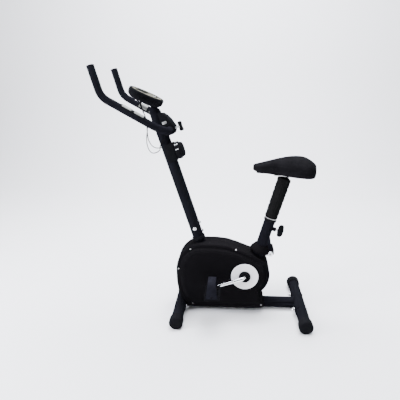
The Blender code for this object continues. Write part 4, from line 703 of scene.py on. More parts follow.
def pedal_parts(sign):
    """Side plates, cross bars, barrel and treads of a platform pedal at its own axle."""
    middle = sign * pedal_width / 2
    parts = []
    for y in (sign * 0.0035, sign * (pedal_width - 0.0035)):
        parts.append(boxed((pedal_front + pedal_back, 0.007, 2 * pedal_half - 0.001),
                           ((pedal_back - pedal_front) / 2, y, 0), 0.0034, 0.002))
    for x, deep in ((-pedal_front + 0.004, 0.008), (pedal_back - 0.004, 0.008)):
        parts.append(boxed((deep, pedal_width - 0.002, 2 * pedal_half - 0.003), (x, middle, 0), 0.002,
                           0.0015))
    barrel = eased([(0, 0.004), (0.0095, 0.004), (0.0095, pedal_width - 0.004), (0, pedal_width - 0.004)],
                   (0.001, 0.001), 3)
    parts.append(placed(turned_grid(barrel, 48), (0, 0, 0), axis="Y" if sign > 0 else "-Y"))
    for share in (0.25, 0.5, 0.75):
        parts.append(boxed((pedal_front + pedal_back - 0.010, 0.0035, 2 * pedal_half - 0.005),
                           ((pedal_back - pedal_front) / 2, sign * pedal_width * share, 0), 0.0015, 0.001))
    for x in (-pedal_front + 0.004, pedal_back - 0.004):
        for y in np.linspace(0.010, pedal_width - 0.010, 12):
            for z in (-1, 1):
                parts.append(boxed((0.0060, 0.0026, 0.0022), (x, sign * y, z * (pedal_half - 0.0011)),
                                   0.0008, 0.0005))
    return parts


def strap_part(sign, count=110):
    """Arched band: a rounded line over the shoe, narrowest on top, ribbed near its feet."""
    out = pedal_width + 0.0003
    thick = 0.0035
    low, top = -0.0042, 0.066
    line = eased([(-0.0003 - thick / 2, low), (-0.0003 - thick / 2, top - thick / 2),
                  (out + thick / 2, top - thick / 2), (out + thick / 2, low)], (0.030, 0.026), 24)
    run = np.concatenate([[0], np.cumsum(np.linalg.norm(np.diff(line, axis=0), axis=1))])
    even = np.linspace(0, run[-1], count)
    y = np.interp(even, run, line[:, 0])
    z = np.interp(even, run, line[:, 1])
    slope = np.gradient(np.column_stack([y, z]), axis=0)
    slope /= np.linalg.norm(slope, axis=1)[:, None]
    outward = np.column_stack([-slope[:, 1], slope[:, 0]])
    share = np.clip((z - low) / (top - low), 0, 1)
    half = (0.052 + (0.034 - 0.052) * share ** 0.8) / 2
    rise = np.minimum(even, run[-1] - even)
    ribs = np.where((rise > 0.006) & (rise < 0.044), 0.0007 * np.cos(2 * np.pi * rise / 0.0058), 0.0)
    section = rounded_box(1.0, 1.0, 0.5, 5)
    corner = thick / 2
    grid = np.zeros((count, len(section), 3))
    for k, (u, v) in enumerate(section):
        side = np.sign(u) * np.minimum(1, abs(u) / 0.5)
        cross = half - corner + corner * abs(side)
        x = np.sign(u) * (cross if abs(u) > 1e-6 else 0) - 0.015
        lift = v * 2 * corner
        face = lift + np.where(v > 0.2, ribs, 0.0)
        grid[:, k, 0] = x
        grid[:, k, 1] = sign * (y + outward[:, 0] * face)
        grid[:, k, 2] = z + outward[:, 1] * face
    return grid


pedal_origin = {hand: crank_origin + (arm_ends[hand][0], sign * 0.1165, arm_ends[hand][2])
                for hand, sign in (("left", -1), ("right", 1))}
for hand, sign in (("left", -1), ("right", 1)):
    parts = [(part + pedal_origin[hand], {}) for part in pedal_parts(sign)]
    points, faces = joined(*parts)
    body = mesh_piece(f"{hand}_pedal_platform", points, faces, PEDAL_PLASTIC)
    ridden(body, f"{hand}_pedal", "black_plastic", f"{hand}_pedal")
    points, faces = joined((strap_part(sign) + pedal_origin[hand], {}))
    band = mesh_piece(f"{hand}_toe_strap", points, faces, STRAP_RUBBER, 50)
    ridden(band, f"{hand}_pedal", "rubber", f"{hand}_strap")
    for y in (-0.0003 - 0.0035, pedal_width + 0.0003 + 0.0035):
        stud = placed(turned_grid(eased([(0, -0.0012), (0.0045, -0.0012), (0.0045, 0.0008), (0.0030, 0.0018),
                                         (0, 0.0020)], (0.0004, 0.0008, 0.0008), 3), 32),
                      (-0.015, sign * y, 0.004), axis="Y" if sign * (y - 0.02) > 0 else "-Y")
        points, faces = joined((stud + pedal_origin[hand], {}))
        peg = mesh_piece(f"{hand}_strap_peg_{'in' if y < 0.02 else 'out'}", points, faces, PEDAL_PLASTIC)
        ridden(peg, f"{hand}_pedal", "black_plastic")

# ---------------------------------------------------------------- handlebar and its clamp
# One bent steel pipe in black: cross piece, two arms and two horns with moulded end
# plugs. Each arm carries a hand sensor: a black carrier with two grey metal plates.
bar_origin = np.array([-0.16436, 0.0, 0.84302])
bar_half, bar_slope, bar_arm = 0.1515, math.radians(29.5), 0.282
horn_length, horn_lean = 0.1235, math.radians(15.5)
bar_radius_out, bar_radius_held = 0.0150, 0.0127
arm_way = np.array([-math.cos(bar_slope), 0, math.sin(bar_slope)])
horn_way = np.array([-math.sin(horn_lean), 0, math.cos(horn_lean)])
GRIP_BLACK = finish_of("bar_black", (0.006, 0.006, 0.008), 0.30, grain=420, depth=0.02, cloud=16,
                       vary=0.2, rough_vary=0.25, dust=0.015, shine=0.6)
corners = []
for sign in (-1, 1):
    corner = np.array([0, sign * bar_half, 0])
    elbow = corner + arm_way * bar_arm
    corners.append([elbow + horn_way * (horn_length - 0.004), elbow, corner])
bar_line = eased(corners[0] + corners[1][::-1], (0.070, 0.078, 0.078, 0.070), 28) + bar_origin
beside_clamp = np.clip((np.abs(bar_line[:, 1]) - 0.045) / 0.02, 0, 1)
bar_radii = bar_radius_held + (bar_radius_out - bar_radius_held) * beside_clamp
points, faces = joined((swept_grid(bar_line, bar_radii, 48), {}))
pipe_bar = mesh_piece("bent_bar", points, faces, GRIP_BLACK)
ridden(pipe_bar, "handlebar", "black_paint", "handlebar")
SENSOR_METAL = finish_of("sensor_metal", (0.13, 0.13, 0.12), 0.50, metal=1.0, grain=900, depth=0.02, vary=0.1)
up_way = np.array([math.sin(bar_slope), 0, math.cos(bar_slope)])


def sleeve_grid(start, way, up, inward, length, inner, outer, first, last, ribs=0.0):
    """Part sleeve on a bar: arcs of two radii from first to last degrees, eased at both ends."""
    stations = np.concatenate([[0, 0.0006, 0.0016], np.linspace(0.003, length - 0.003, 60),
                               [length - 0.0016, length - 0.0006, length]])
    rows = []
    for distance in stations:
        from_tip = min(distance, length - distance)
        draw = 0.0016 * (1 - math.sqrt(max(0.0, 1 - (1 - min(from_tip / 0.0016, 1)) ** 2)))
        bulge = ribs * math.cos(2 * math.pi * distance / 0.006)
        radius = outer - draw + bulge
        arc_out = np.radians(np.linspace(first, last, 25))
        arc_in = arc_out[::-1]
        edge = np.minimum(1, np.sin((arc_out - arc_out[0]) / (arc_out[-1] - arc_out[0]) * math.pi) * 6) ** 0.5
        rim = inner + (radius - inner) * np.maximum(edge, 0.15)
        ring = [(np.cos(a), np.sin(a), r) for a, r in zip(arc_out, rim)]
        ring += [(np.cos(a), np.sin(a), inner) for a in arc_in]
        ring = np.array(ring)
        rows.append(start + way * distance + up * (ring[:, :1] * ring[:, 2:])
                    + inward * (ring[:, 1:2] * ring[:, 2:]))
    return np.array(rows)


for hand, sign in (("left", -1), ("right", 1)):
    tip = bar_origin + np.array(corners[0 if sign < 0 else 1][0])
    plug_profile = eased([(0, -0.001), (0.0124, -0.001), (bar_radius_out + 0.0004, 0.0001),
                          (bar_radius_out + 0.0004, 0.0022),
                          (0.0105, 0.0040), (0, 0.0040)], (0.0003, 0.0004, 0.0008, 0.0015), 4)
    plug = placed(turned_grid(plug_profile, 56), tip, -horn_lean)
    points, faces = joined((plug, {}))
    ridden(mesh_piece(f"{hand}_bar_plug", points, faces, CAP_PLASTIC), "handlebar", "black_plastic")
    inward = np.array([0, -sign, 0])
    start = bar_origin + (0, sign * bar_half, 0) + arm_way * 0.092
    parts = [(sleeve_grid(start, arm_way, up_way, inward, 0.108, bar_radius_out + 0.0003,
                          bar_radius_out + 0.0022, -62, 118), {})]
    points, faces = joined(*parts)
    carrier = mesh_piece(f"{hand}_sensor_carrier", points, faces, CAP_PLASTIC)
    ridden(carrier, "handlebar", "black_plastic", f"{hand}_pulse_sensor")
    plates = []
    for offset in (0.007, 0.060):
        plates.append((sleeve_grid(start + arm_way * offset, arm_way, up_way, inward, 0.041,
                                   bar_radius_out + 0.0018, bar_radius_out + 0.0036, -50, 106, 0.00012), {}))
    points, faces = joined(*plates)
    plate = mesh_piece(f"{hand}_sensor_plates", points, faces, SENSOR_METAL)
    ridden(plate, "handlebar", "chrome")
COVER_PLASTIC = finish_of("cover_plastic", (0.006, 0.006, 0.007), 0.34, grain=1100, depth=0.03, cloud=12,
                          dust=0.015, shine=0.35)
refined("handlebar_clamp", "bar_clamp", ENAMEL, "frame", "black_paint", bevel=0.0006)
refined("clamp_cover", "bar_clamp_cover", COVER_PLASTIC, "frame", "black_plastic", crease=38, bevel=0.0012)


def on_clamp(points, axis="Z"):
    """From the clamp's axes, with x to the rider, to the bike's."""
    return placed(points, bar_origin, post_lean, axis)


for sign in (-1, 1):
    slot_rim = slab(rounded_box(0.020, 0.0105, 0.003), 0, 0.0009, 0.0005)
    slot_rim = slot_rim[..., [0, 2, 1]] * (1, sign, 1)
    points, faces = joined((on_clamp(slot_rim + (-0.0120, sign * 0.0341, 0.0345)), {}))
    rim = mesh_piece(f"cover_tab_{'left' if sign < 0 else 'right'}", points, faces, ZINC)
    ridden(rim, "frame", "steel")
stem = eased([(0, 0.0135), (0.0039, 0.0135), (0.0039, 0.034), (0.0058, 0.0345), (0.0066, 0.0410),
              (0, 0.0410)], 0.0008, 3)
points, faces = joined((on_clamp(turned_grid(stem, 40), "X"), {}))
ridden(mesh_piece("clamp_screw", points, faces, ZINC), "clamp_knob", "steel")
grip = eased([(0, -0.021), (0.0070, -0.0205), (0.0095, -0.0150), (0.0075, 0.0), (0.0095, 0.0150),
              (0.0070, 0.0205),
              (0, 0.021)], 0.005, 6)
points, faces = joined((on_clamp(turned_grid(grip, 48) + (0.0440, 0, 0)), {}))
tee = mesh_piece("tee_handle", points, faces, COVER_PLASTIC)
ridden(tee, "clamp_knob", "black_plastic", "clamp_knob")

# ---------------------------------------------------------------- tension control
# A moulded box saddles the back of the post. Its fluted dial pulls the brake's cable,
# and white figures from 1 to 8 go round the dial's skirt.
tension_origin = np.array([-0.17552, 0.0, 0.74042])
refined("tension_housing", "tension_box", COVER_PLASTIC, "frame", "black_plastic", crease=30, bevel=0.0008)
dial_start, dial_radius, dial_depth = 0.0336, 0.038, 0.033
dial_profile = eased([(0, -0.006), (0.0046, -0.006), (0.0046, dial_start), (dial_radius - 0.002, dial_start),
                      (dial_radius, dial_start + 0.003), (dial_radius, dial_start + 0.0165),
                      (dial_radius - 0.0045, dial_start + 0.0195), (dial_radius - 0.0070, dial_start + 0.030),
                      (dial_radius - 0.0110, dial_start + dial_depth), (0.014, dial_start + dial_depth),
                      (0.012, dial_start + dial_depth - 0.0025), (0, dial_start + dial_depth - 0.0025)],
                     (0.0003, 0.0003, 0.001, 0.002, 0.002, 0.003, 0.003, 0.0035, 0.001, 0.0012), 5)
grid = turned_grid(dial_profile, 240)
theta = np.linspace(0, 2 * np.pi, 240, endpoint=False)
height = grid[..., 2] - dial_start
fluted = np.clip((height - 0.019) / 0.003, 0, 1) * np.clip((dial_depth - 0.002 - height) / 0.003, 0, 1)
flute = 1 - 0.055 * fluted * (0.5 - 0.5 * np.cos(theta * 18)) ** 0.7
grid[..., :2] *= flute[..., None]
points, faces = joined((placed(grid, tension_origin, post_lean, "X"), {}))
dial = mesh_piece("tension_dial", points, faces, COVER_PLASTIC, 40)
ridden(dial, "tension_knob", "black_plastic", "tension_knob")
MARK_WHITE = finish_of("mark_white", (0.78, 0.78, 0.76), 0.5, grain=900, depth=0.01, cloud=60, vary=0.08)


def figure_points(text, size):
    """Flat figure as triangles in its own plane, thickened by a little."""
    letter = bpy.data.curves.new("figure", "FONT")
    letter.body = text
    letter.size = size
    letter.align_x = "CENTER"
    letter.align_y = "CENTER"
    letter.extrude = 0.0005
    letter.offset = 0.0006
    letter.resolution_u = 3
    holder = bpy.data.objects.new("figure", letter)
    bpy.context.scene.collection.objects.link(holder)
    bpy.context.view_layer.update()
    mesh = bpy.data.meshes.new_from_object(holder.evaluated_get(bpy.context.evaluated_depsgraph_get()))
    flat = np.array([v.co for v in mesh.vertices])
    faces = [list(p.vertices) for p in mesh.polygons]
    bpy.data.objects.remove(holder)
    return flat, faces


figures = []
figure_faces = []
for number in range(1, 9):
    flat, number_faces = figure_points(str(number), 0.0180)
    turn = math.radians(78 - (number - 1) * 36)
    ring_radius = dial_radius + 0.0001
    bend = flat[:, 0] / ring_radius + turn + math.pi
    rise = dial_start + 0.0095 + flat[:, 1]
    lift = ring_radius + flat[:, 2]
    wrapped_points = np.column_stack([lift * np.cos(bend), lift * np.sin(bend), rise])
    figure_faces += [[i + sum(len(f) for f in figures) for i in face] for face in number_faces]
    figures.append(wrapped_points)
points = placed(np.vstack(figures), tension_origin, post_lean, "X")
ridden(mesh_piece("dial_figures", points, figure_faces, MARK_WHITE), "tension_knob", "white_plastic")

# ---------------------------------------------------------------- console
# A round black drum with ribs down its side, a grey face plate, a dark window over
# the display and one button. It is screwed to a bent plate on the post's top.
console_origin = np.array([-0.2605, 0.0, 0.9935])
console_tilt = math.radians(25.0)
console_radius, console_depth, button_shift = 0.077, 0.039, 0.040
button_origin = console_origin + np.array([button_shift * math.cos(console_tilt), 0,
                                           -button_shift * math.sin(console_tilt)])
FACE_GREY = finish_of("face_grey", (0.105, 0.100, 0.078), 0.30, grain=1400, depth=0.02, cloud=18, vary=0.1,
                      dust=0.015, shine=0.15)
LENS_BLACK = finish_of("lens_black", (0.002, 0.002, 0.003), 0.10, grain=200, depth=0.002, cloud=6, dust=0.01,
                       shine=0.25)
drum_profile = eased([(0, -console_depth), (0.050, -console_depth), (0.064, -0.0365), (0.0745, -0.0275),
                      (console_radius, -0.0165), (console_radius, -0.0136), (0.070, -0.0136), (0, -0.0136)],
                     (0.002, 0.006, 0.008, 0.003, 0.0006, 0.001), 6)
stations = [drum_profile[:1]]
for before, after in zip(drum_profile, drum_profile[1:]):
    steps = max(1, int(np.linalg.norm(after - before) / 0.002))
    stations.append(before + (after - before) * (np.arange(1, steps + 1) / steps)[:, None])
drum_profile = np.vstack(stations)
grid = turned_grid(drum_profile, 360)
theta = np.linspace(0, 2 * np.pi, 360, endpoint=False)
wrap = (theta + np.pi) % (2 * np.pi) - np.pi
ribbed = 1 / (1 + np.exp((np.abs(wrap) - math.radians(100)) * 22))
height = grid[..., 2]
band = np.clip((height + 0.0360) / 0.004, 0, 1) * np.clip((-0.0150 - height) / 0.001, 0, 1)
groove = np.clip(0.5 - 0.9 * np.cos(theta * 44), 0, 1)
grid[..., :2] *= (1 - 0.032 * band * (ribbed * groove)[None, :])[..., None]
points, faces = joined((placed(grid, console_origin, console_tilt), {}))
drum = mesh_piece("console_drum", points, faces, COVER_PLASTIC, 42)
ridden(drum, "frame", "black_plastic", "console_back")
rim = turned("console_rim", [(0.0660, -0.0132), (console_radius, -0.0132), (console_radius, -0.0045),
             (0.0735, -0.0005), (0.0700, 0.0), (0.0660, -0.0012)], COVER_PLASTIC, console_origin,
             console_tilt,
             segments=160, hollow=True, ease=0.0016)
ridden(rim, "frame", "black_plastic")
window_length, window_width, window_shift = 0.050, 0.074, -0.022
plate_line = turned_grid(eased([(0, -0.0070), (0.0657, -0.0070), (0.0657, -0.0016), (0.060, -0.0008),
                                (0, -0.0008)],
                               (0.0004, 0.001, 0.004), 4), 160)
points, faces = joined((plate_line, {}))
plate = mesh_piece("console_face", placed(points, console_origin, console_tilt), faces, FACE_GREY)
window = slab(rounded_box(window_length + 0.0006, window_width + 0.0006, 0.008), -0.010, 0.004, 0.0001)
points, faces = joined((placed(window + (window_shift, 0, 0), console_origin, console_tilt), {}))
window_tool = mesh_piece("window_tool", points, faces, FACE_GREY)
button_tool = bar_tool(0.0094, -0.010, 0.004, button_origin, console_tilt)
ridden(in_solid(plate, window_tool, button_tool), "frame", "grey_plastic", "console_bezel")
pane = slab(rounded_box(window_length, window_width, 0.0078), -0.0040, -0.0005, 0.0005)
points, faces = joined((placed(pane + (window_shift, 0, 0), console_origin, console_tilt), {}))
ridden(mesh_piece("display_window", points, faces, LENS_BLACK), "frame", "dark_lens", "console_lens")
DISPLAY_GREY = finish_of("display_grey", (0.012, 0.013, 0.012), 0.16, grain=300, depth=0.002, vary=0.1,
                         shine=0.25)
field = slab(rounded_box(0.030, 0.056, 0.003), -0.0006, -0.0003, 0.0001)
points, faces = joined((placed(field + (window_shift, 0, 0), console_origin, console_tilt), {}))
ridden(mesh_piece("display_field", points, faces, DISPLAY_GREY), "frame", "dark_lens")
button_profile = eased([(0, -0.0062), (0.009, -0.0062), (0.009, 0.0010), (0.0078, 0.0022), (0, 0.0025)],
                       (0.0004, 0.0008, 0.001), 5)
button = placed(turned_grid(button_profile, 64) + (button_shift, 0, 0), console_origin, console_tilt)
points, faces = joined((button, {}))
ridden(mesh_piece("round_button", points, faces, LEAD_RUBBER), "button", "black_plastic", "mode_button")
ring = turned("button_ring", [(0.0097, -0.0010), (0.0118, -0.0010), (0.0118, -0.0003), (0.0097, -0.0001)],
              CHROME,
              button_origin,
              console_tilt, hollow=True, ease=0.0003)
ridden(ring, "frame", "chrome")
refined("console_bracket", "console_plate", ENAMEL, "frame", "black_paint", bevel=0.0005)
for sign in (-1, 1):
    for along in (-0.030, 0.006):
        head = turned_grid(eased([(0, 0), (0.0042, 0), (0.0042, -0.0016), (0.0025, -0.0030), (0, -0.0032)],
                                 (0.0003, 0.0008, 0.0008), 4), 32)
        place_at = (along, sign * 0.017, -console_depth - 0.0036)
        points, faces = joined((placed(head + place_at, console_origin, console_tilt), {}))
        side_word = "left" if sign < 0 else "right"
        end_word = "front" if along < 0 else "back"
        screw = mesh_piece(f"plate_screw_{side_word}_{end_word}", points, faces, CHROME)
        ridden(screw, "frame", "chrome")

# ---------------------------------------------------------------- seat tube, post and sleeve
# The rear tube and its bush take a chromed seat post, held by a sprung knob. A thick
# foam sleeve with a pressed diamond skin covers the post up to the saddle.
refined("seat_tube", "rear_tube", ENAMEL, "frame", "black_paint")
seat_collar = turned("seat_bush", [(0.0195, -0.0395), (0.0225, -0.0395), (0.0225, 0.0003),
                                   (0.0283, 0.0003), (0.0283, 0.0085),
                     (0.0262, 0.0120), (0.0195, 0.0120)], CAP_PLASTIC, seat_origin, seat_lean, hollow=True,
                     ease=0.0009)
ridden(seat_collar, "frame", "black_plastic", "seat_collar")
boot = turned("seat_tube_boot", [(0.0262, -0.152), (0.0460, -0.152), (0.0420, -0.136), (0.0330, -0.124),
                                 (0.0290, -0.118),
               (0.0262, -0.118)], CASING_PLASTIC, seat_origin, seat_lean, hollow=True, ease=0.0040,
               segments=96)
ridden(boot, "frame", "black_plastic")
bush_ring = turned("seat_bush_ring", [(0.0197, 0.0122), (0.0262, 0.0122), (0.0266, 0.0134),
                                      (0.0258, 0.0146), (0.0197, 0.0146)],
                   ZINC, seat_origin, seat_lean, hollow=True, ease=0.0005)
ridden(bush_ring, "frame", "steel")
refined("seat_post", "seat_post_tube", CHROME, "seat", "chrome")
FOAM = finish_of("foam_sleeve", (0.007, 0.007, 0.007), 0.50, grain=1500, depth=0.06, cloud=30, vary=0.2,
                 dust=0.015,
                 shine=0.25)
sleeve_low, sleeve_high, sleeve_radius = 0.0152, 0.202, 0.0290
rows = np.linspace(0, 1, 220)
theta = np.linspace(0, 2 * np.pi, 200, endpoint=False)
along = sleeve_low + (sleeve_high - sleeve_low) * rows[:, None] + 0 * theta
wave = 0.0006 * np.sin(along * 2 * np.pi / 0.021 + 0.7) + 0.0004 * np.sin(along * 2 * np.pi / 0.034 + theta)
pitch = 2 * np.pi / 0.0110
diamond = 0.0009 * (np.cos(along * pitch + theta * 9) * np.cos(along * pitch - theta * 9))
tuck = 0.0040 * (1 - np.clip(np.minimum(rows, 1 - rows) / 0.014, 0, 1) ** 0.5)[:, None]
radius = sleeve_radius - 0.0012 * (1 - rows[:, None]) + wave + diamond - tuck
outer = np.stack([radius * np.cos(theta), radius * np.sin(theta), along], -1)
inner_radius = 0.0194
inner = np.stack([inner_radius * np.cos(theta) + 0 * along[:2], inner_radius * np.sin(theta) + 0 * along[:2],
                  along[[-1, 0]]], -1)
points, faces = joined((placed(np.vstack([outer, inner]), seat_origin, seat_lean),
                        {"loop": True, "ends": False}))
ridden(mesh_piece("foam_sleeve", points, faces, FOAM, 80), "seat", "rubber", "seat_sleeve")
pop_origin = np.array([0.2584, 0.0, 0.40338])
pin_profile = eased([(0, 0.0193), (0.0042, 0.0193), (0.0042, 0.052), (0, 0.052)], 0.0005, 3)
points, faces = joined((placed(turned_grid(pin_profile, 40), pop_origin, seat_lean, "X"), {}))
ridden(mesh_piece("pop_pin_rod", points, faces, CHROME), "pop_pin", "chrome")
knob_profile = eased([(0, 0.0500), (0.0075, 0.0500), (0.0270, 0.0520), (0.0290, 0.0585), (0.0282, 0.0665),
                      (0.0230, 0.0702), (0.012, 0.0702), (0.010, 0.0690), (0, 0.0690)],
                     (0.0010, 0.0040, 0.005, 0.005, 0.004, 0.002, 0.0010), 6)
grid = turned_grid(knob_profile, 192)
theta = np.linspace(0, 2 * np.pi, 192, endpoint=False)
far_out = np.clip((np.linalg.norm(grid[..., :2], axis=-1) - 0.010) / 0.014, 0, 1)
lobes = 1 - 0.13 * far_out * (0.5 - 0.5 * np.cos(theta * 6)) ** 1.3
grid[..., :2] *= lobes[..., None]
points, faces = joined((placed(grid, pop_origin, seat_lean, "X"), {}))
ridden(mesh_piece("lobed_knob", points, faces, COVER_PLASTIC, 40), "pop_pin", "black_plastic", "pop_pin")

# ---------------------------------------------------------------- saddle
# A wide foam pad under soft black vinyl: one top panel, two side panels sewn on along
# a ridge, stretched over a moulded base and tucked under it. Modelled, then swollen.
saddle_origin = np.array([0.32967, 0.0, 0.64552])
saddle_tilt = math.radians(3.5)
saddle_length, saddle_width, nose_width = 0.266, 0.206, 0.058
back_reach, pad_low = 0.1225, 0.0015
VINYL = finish_of("soft_vinyl", (0.006, 0.0058, 0.0065), 0.38, grain=620, depth=0.05, cloud=22, vary=0.25,
                  rough_vary=0.2, dust=0.015, shine=0.35)


def half_width(t):
    """Half the pad's width along its length t: round nose, slow swell, round tail."""
    swell = 1 / (1 + np.exp(-11 * (t - 0.52)))
    body = nose_width / 2 + (saddle_width - nose_width) / 2 * swell
    tip = np.sqrt(np.clip(1 - (1 - np.minimum(t / 0.13, 1)) ** 2, 0, 1))
    tail = np.sqrt(np.clip(1 - np.clip((t - 0.78) / 0.22, 0, 1) ** 2.5, 0, 1))
    return body * tip * tail


def crown_height(t):
    """Height of the pad's middle along its length t."""
    rise = 0.038 + 0.042 * np.sin(np.minimum(t / 0.74, 1) * np.pi / 2) ** 1.3
    return rise - 0.030 * np.clip((t - 0.74) / 0.26, 0, 1) ** 2.2


def ridge_share(t):
    """How far down from the crown the sewn ridge runs: high at the nose, low behind."""
    return 0.34 + 0.26 * np.clip((t - 0.25) / 0.5, 0, 1)


def saddle_surface(t, section):
    """Points of the pad: a shallow dome to the ridge, a tucked side, and a flat underside."""
    half = half_width(t)[:, None]
    crown = crown_height(t)[:, None]
    low = pad_low + 0.010 * (1 - np.clip(t / 0.30, 0, 1))[:, None] ** 2
    ridge = crown - (crown - low) * ridge_share(t)[:, None]
    turn = section[None, :]
    side = np.sign(np.cos(turn))
    over = np.sin(turn) >= 0
    dome = ridge + (crown - ridge) * np.abs(np.sin(turn)) ** 0.9
    across_dome = half * np.abs(np.cos(turn)) ** 0.72
    under = ridge - (ridge - low) * np.minimum(1, np.abs(np.sin(turn)) * 1.35) ** 0.9
    across_under = (half * np.abs(np.cos(turn)) ** 0.36
                    * (1 - 0.07 * np.minimum(1, np.abs(np.sin(turn)) * 1.35)))
    y = side * np.where(over, across_dome, across_under)
    z = np.where(over, dome, under)
    x = (back_reach - saddle_length * (1 - t))[:, None] + 0 * turn
    return np.stack([x, y, z], -1)


def swollen(made, voxel, pressure, cap):
    """Even remesh, then a cloth simulation with air inside; no point moves more than cap."""
    even = made.modifiers.new("even", "REMESH")
    even.mode = "VOXEL"
    even.voxel_size = voxel
    bpy.context.view_layer.update()
    mesh = bpy.data.meshes.new_from_object(made.evaluated_get(bpy.context.evaluated_depsgraph_get()))
    made.modifiers.clear()
    made.data = mesh
    start = np.zeros(len(mesh.vertices) * 3)
    mesh.vertices.foreach_get("co", start)
    start = start.reshape(-1, 3)
    local_z = (start - saddle_origin) @ (math.sin(saddle_tilt), 0, math.cos(saddle_tilt))
    base = made.vertex_groups.new(name="tucked")
    base.add(np.nonzero(local_z < pad_low + 0.006)[0].tolist(), 1.0, "REPLACE")
    cloth = made.modifiers.new("swell", "CLOTH")
    cloth.settings.use_pressure = True
    cloth.settings.uniform_pressure_force = pressure
    cloth.settings.vertex_group_mass = "tucked"
    cloth.settings.tension_stiffness = 25
    cloth.settings.compression_stiffness = 25
    cloth.settings.effector_weights.gravity = 0
    cloth.point_cache.frame_end = 20
    scene = bpy.context.scene
    for number in range(1, 21):
        scene.frame_set(number)
    end = np.zeros(len(start) * 3)
    made.evaluated_get(bpy.context.evaluated_depsgraph_get()).data.vertices.foreach_get("co", end)
    move = end.reshape(-1, 3) - start
    far = np.linalg.norm(move, axis=1, keepdims=True)
    move *= np.minimum(1, cap / np.maximum(far, 1e-9))
    made.modifiers.clear()
    made.vertex_groups.clear()
    mesh.vertices.foreach_set("co", (start + move).ravel())
    scene.frame_set(1)


section = np.linspace(0, 2 * np.pi, 96, endpoint=False)
lengthwise = (1 - np.cos(np.linspace(0.02, np.pi - 0.02, 90))) / 2
points, faces = joined((placed(saddle_surface(lengthwise, section), saddle_origin, saddle_tilt), {}))
pad = mesh_piece("saddle_cushion", points, faces, VINYL, 180)
swollen(pad, 0.0042, 3.0, 0.004)
relax = pad.modifiers.new("relax", "SMOOTH")
relax.factor = 0.5
relax.iterations = 3
finer = pad.modifiers.new("finer", "SUBSURF")
finer.levels = 1
finer.render_levels = 1
bpy.context.view_layer.update()
pad_mesh = bpy.data.meshes.new_from_object(pad.evaluated_get(bpy.context.evaluated_depsgraph_get()))
pad.modifiers.clear()
pad.data = pad_mesh
co = np.zeros(len(pad_mesh.vertices) * 3)
normals = np.zeros(len(pad_mesh.vertices) * 3)
pad_mesh.vertices.foreach_get("co", co)
pad_mesh.vertex_normals.foreach_get("vector", normals)
co, normals = co.reshape(-1, 3), normals.reshape(-1, 3)
away = co - saddle_origin
along = away @ (math.cos(saddle_tilt), 0, -math.sin(saddle_tilt))
above = away @ (math.sin(saddle_tilt), 0, math.cos(saddle_tilt))
share = np.clip((along - back_reach) / saddle_length + 1, 0, 1)
crown = crown_height(share)
drop = (crown - above) / np.maximum(crown - pad_low, 1e-6)
edge_out = np.abs(away[:, 1]) / np.maximum(half_width(np.clip(share, 0.02, 0.98)), 0.004)
ridge_at = ridge_share(share)
from_ridge = (drop - ridge_at) * (crown - pad_low)
on_side = np.clip((edge_out - 0.80) / 0.1, 0, 1)
piping = 0.0009 * np.exp(-(from_ridge / 0.0022) ** 2) * on_side
stitch_line = 0.0007 * np.exp(-((from_ridge - 0.0045) / 0.0012) ** 2) * on_side
tail_seam = np.abs((share - 0.86) * 0.9 - (drop - 0.35) * 0.10) * saddle_length
tail_groove = 0.0009 * np.exp(-(tail_seam / 0.0014) ** 2) * np.clip((drop - 0.30) / 0.1, 0, 1) * on_side
tail_seam_two = np.abs((share - 0.91) * 0.9 - (drop - 0.35) * 0.10) * saddle_length
tail_groove += 0.0006 * np.exp(-(tail_seam_two / 0.0012) ** 2) * np.clip((drop - 0.30) / 0.1, 0, 1) * on_side
co += normals * (piping - stitch_line - tail_groove)[:, None]
pad_mesh.vertices.foreach_set("co", co.ravel())
pad_mesh.polygons.foreach_set("use_smooth", np.ones(len(pad_mesh.polygons), bool))
ridden(pad, "seat", "vinyl", "saddle_pad")
refined("saddle_base", "saddle_pan", CAP_PLASTIC, "seat", "black_plastic", crease=50)

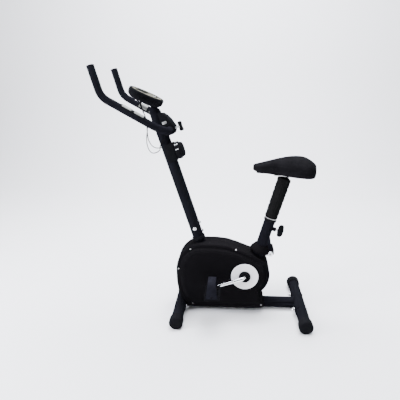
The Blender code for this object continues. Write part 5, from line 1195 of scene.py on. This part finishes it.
# ---------------------------------------------------------------- floor and light
# A plain pale floor that turns up into a pale wall, and five soft lamps.
FLOOR = bpy.data.materials.new("pale_floor")
FLOOR.use_nodes = True
FLOOR.node_tree.nodes["Principled BSDF"].inputs["Base Color"].default_value = (0.93, 0.92, 0.91, 1)
FLOOR.node_tree.nodes["Principled BSDF"].inputs["Roughness"].default_value = 0.8
floor_mesh = bpy.data.meshes.new("studio_floor")
sweep_line = eased([(-6.0, 0.0), (3.0, 0.0), (3.0, 5.0)], 1.2, 24)
floor_points = [(x, y, z) for y, z in sweep_line for x in (-8.0, 8.0)]
floor_faces = [(2 * k, 2 * k + 1, 2 * k + 3, 2 * k + 2) for k in range(len(sweep_line) - 1)]
floor_mesh.from_pydata(floor_points, [], floor_faces)
floor_mesh.polygons.foreach_set("use_smooth", np.ones(len(floor_faces), bool))
floor_mesh.materials.append(FLOOR)
floor = bpy.data.objects.new("studio_floor", floor_mesh)
bpy.context.scene.collection.objects.link(floor)
sky = bpy.data.worlds.new("studio_air")
bpy.context.scene.world = sky
sky.use_nodes = True
sky.node_tree.nodes["Background"].inputs["Color"].default_value = (1.0, 1.0, 1.0, 1)
sky_tree = sky.node_tree
sky_way = sky_tree.nodes.new("ShaderNodeTexCoord")
sky_split = sky_tree.nodes.new("ShaderNodeSeparateXYZ")
sky_fall = sky_tree.nodes.new("ShaderNodeMapRange")
sky_fall.inputs["From Min"].default_value = -0.35
sky_fall.inputs["From Max"].default_value = 0.45
sky_fall.inputs["To Min"].default_value = 0.10
sky_fall.inputs["To Max"].default_value = 1.10
sky_tree.links.new(sky_way.outputs["Generated"], sky_split.inputs[0])
sky_tree.links.new(sky_split.outputs["Y"], sky_fall.inputs["Value"])
sky_tree.links.new(sky_fall.outputs["Result"], sky_tree.nodes["Background"].inputs["Strength"])
for lamp_name, place_at, aim_at, power, sides in (
        ("key_lamp", (-1.6, -2.2, 2.6), (0, 0, 0.5), 60, (1.4, 1.4)),
        ("edge_lamp", (-2.2, -1.0, 1.2), (0, 0, 0.6), 110, (0.30, 2.0)),
        ("fill_lamp", (2.3, -1.4, 1.9), (0, 0, 0.4), 22, (1.2, 1.2)),
        ("top_lamp", (0.2, 0.3, 3.2), (0.1, 0, 0), 300, (2.6, 2.6)),
        ("wall_lamp", (0.0, 0.9, 3.6), (0, 3.0, 1.2), 240, (3.0, 1.0))):
    lamp = bpy.data.lights.new(lamp_name, "AREA")
    lamp.shape = "RECTANGLE"
    lamp.energy = power
    lamp.color = (0.88, 0.91, 1.0)
    lamp.size, lamp.size_y = sides
    lamp_object = bpy.data.objects.new(lamp_name, lamp)
    direction = Vector(aim_at) - Vector(place_at)
    facing = direction.to_track_quat("-Z", "Y").to_matrix().to_4x4()
    lamp_object.matrix_world = Matrix.Translation(place_at) @ facing
    bpy.context.scene.collection.objects.link(lamp_object)
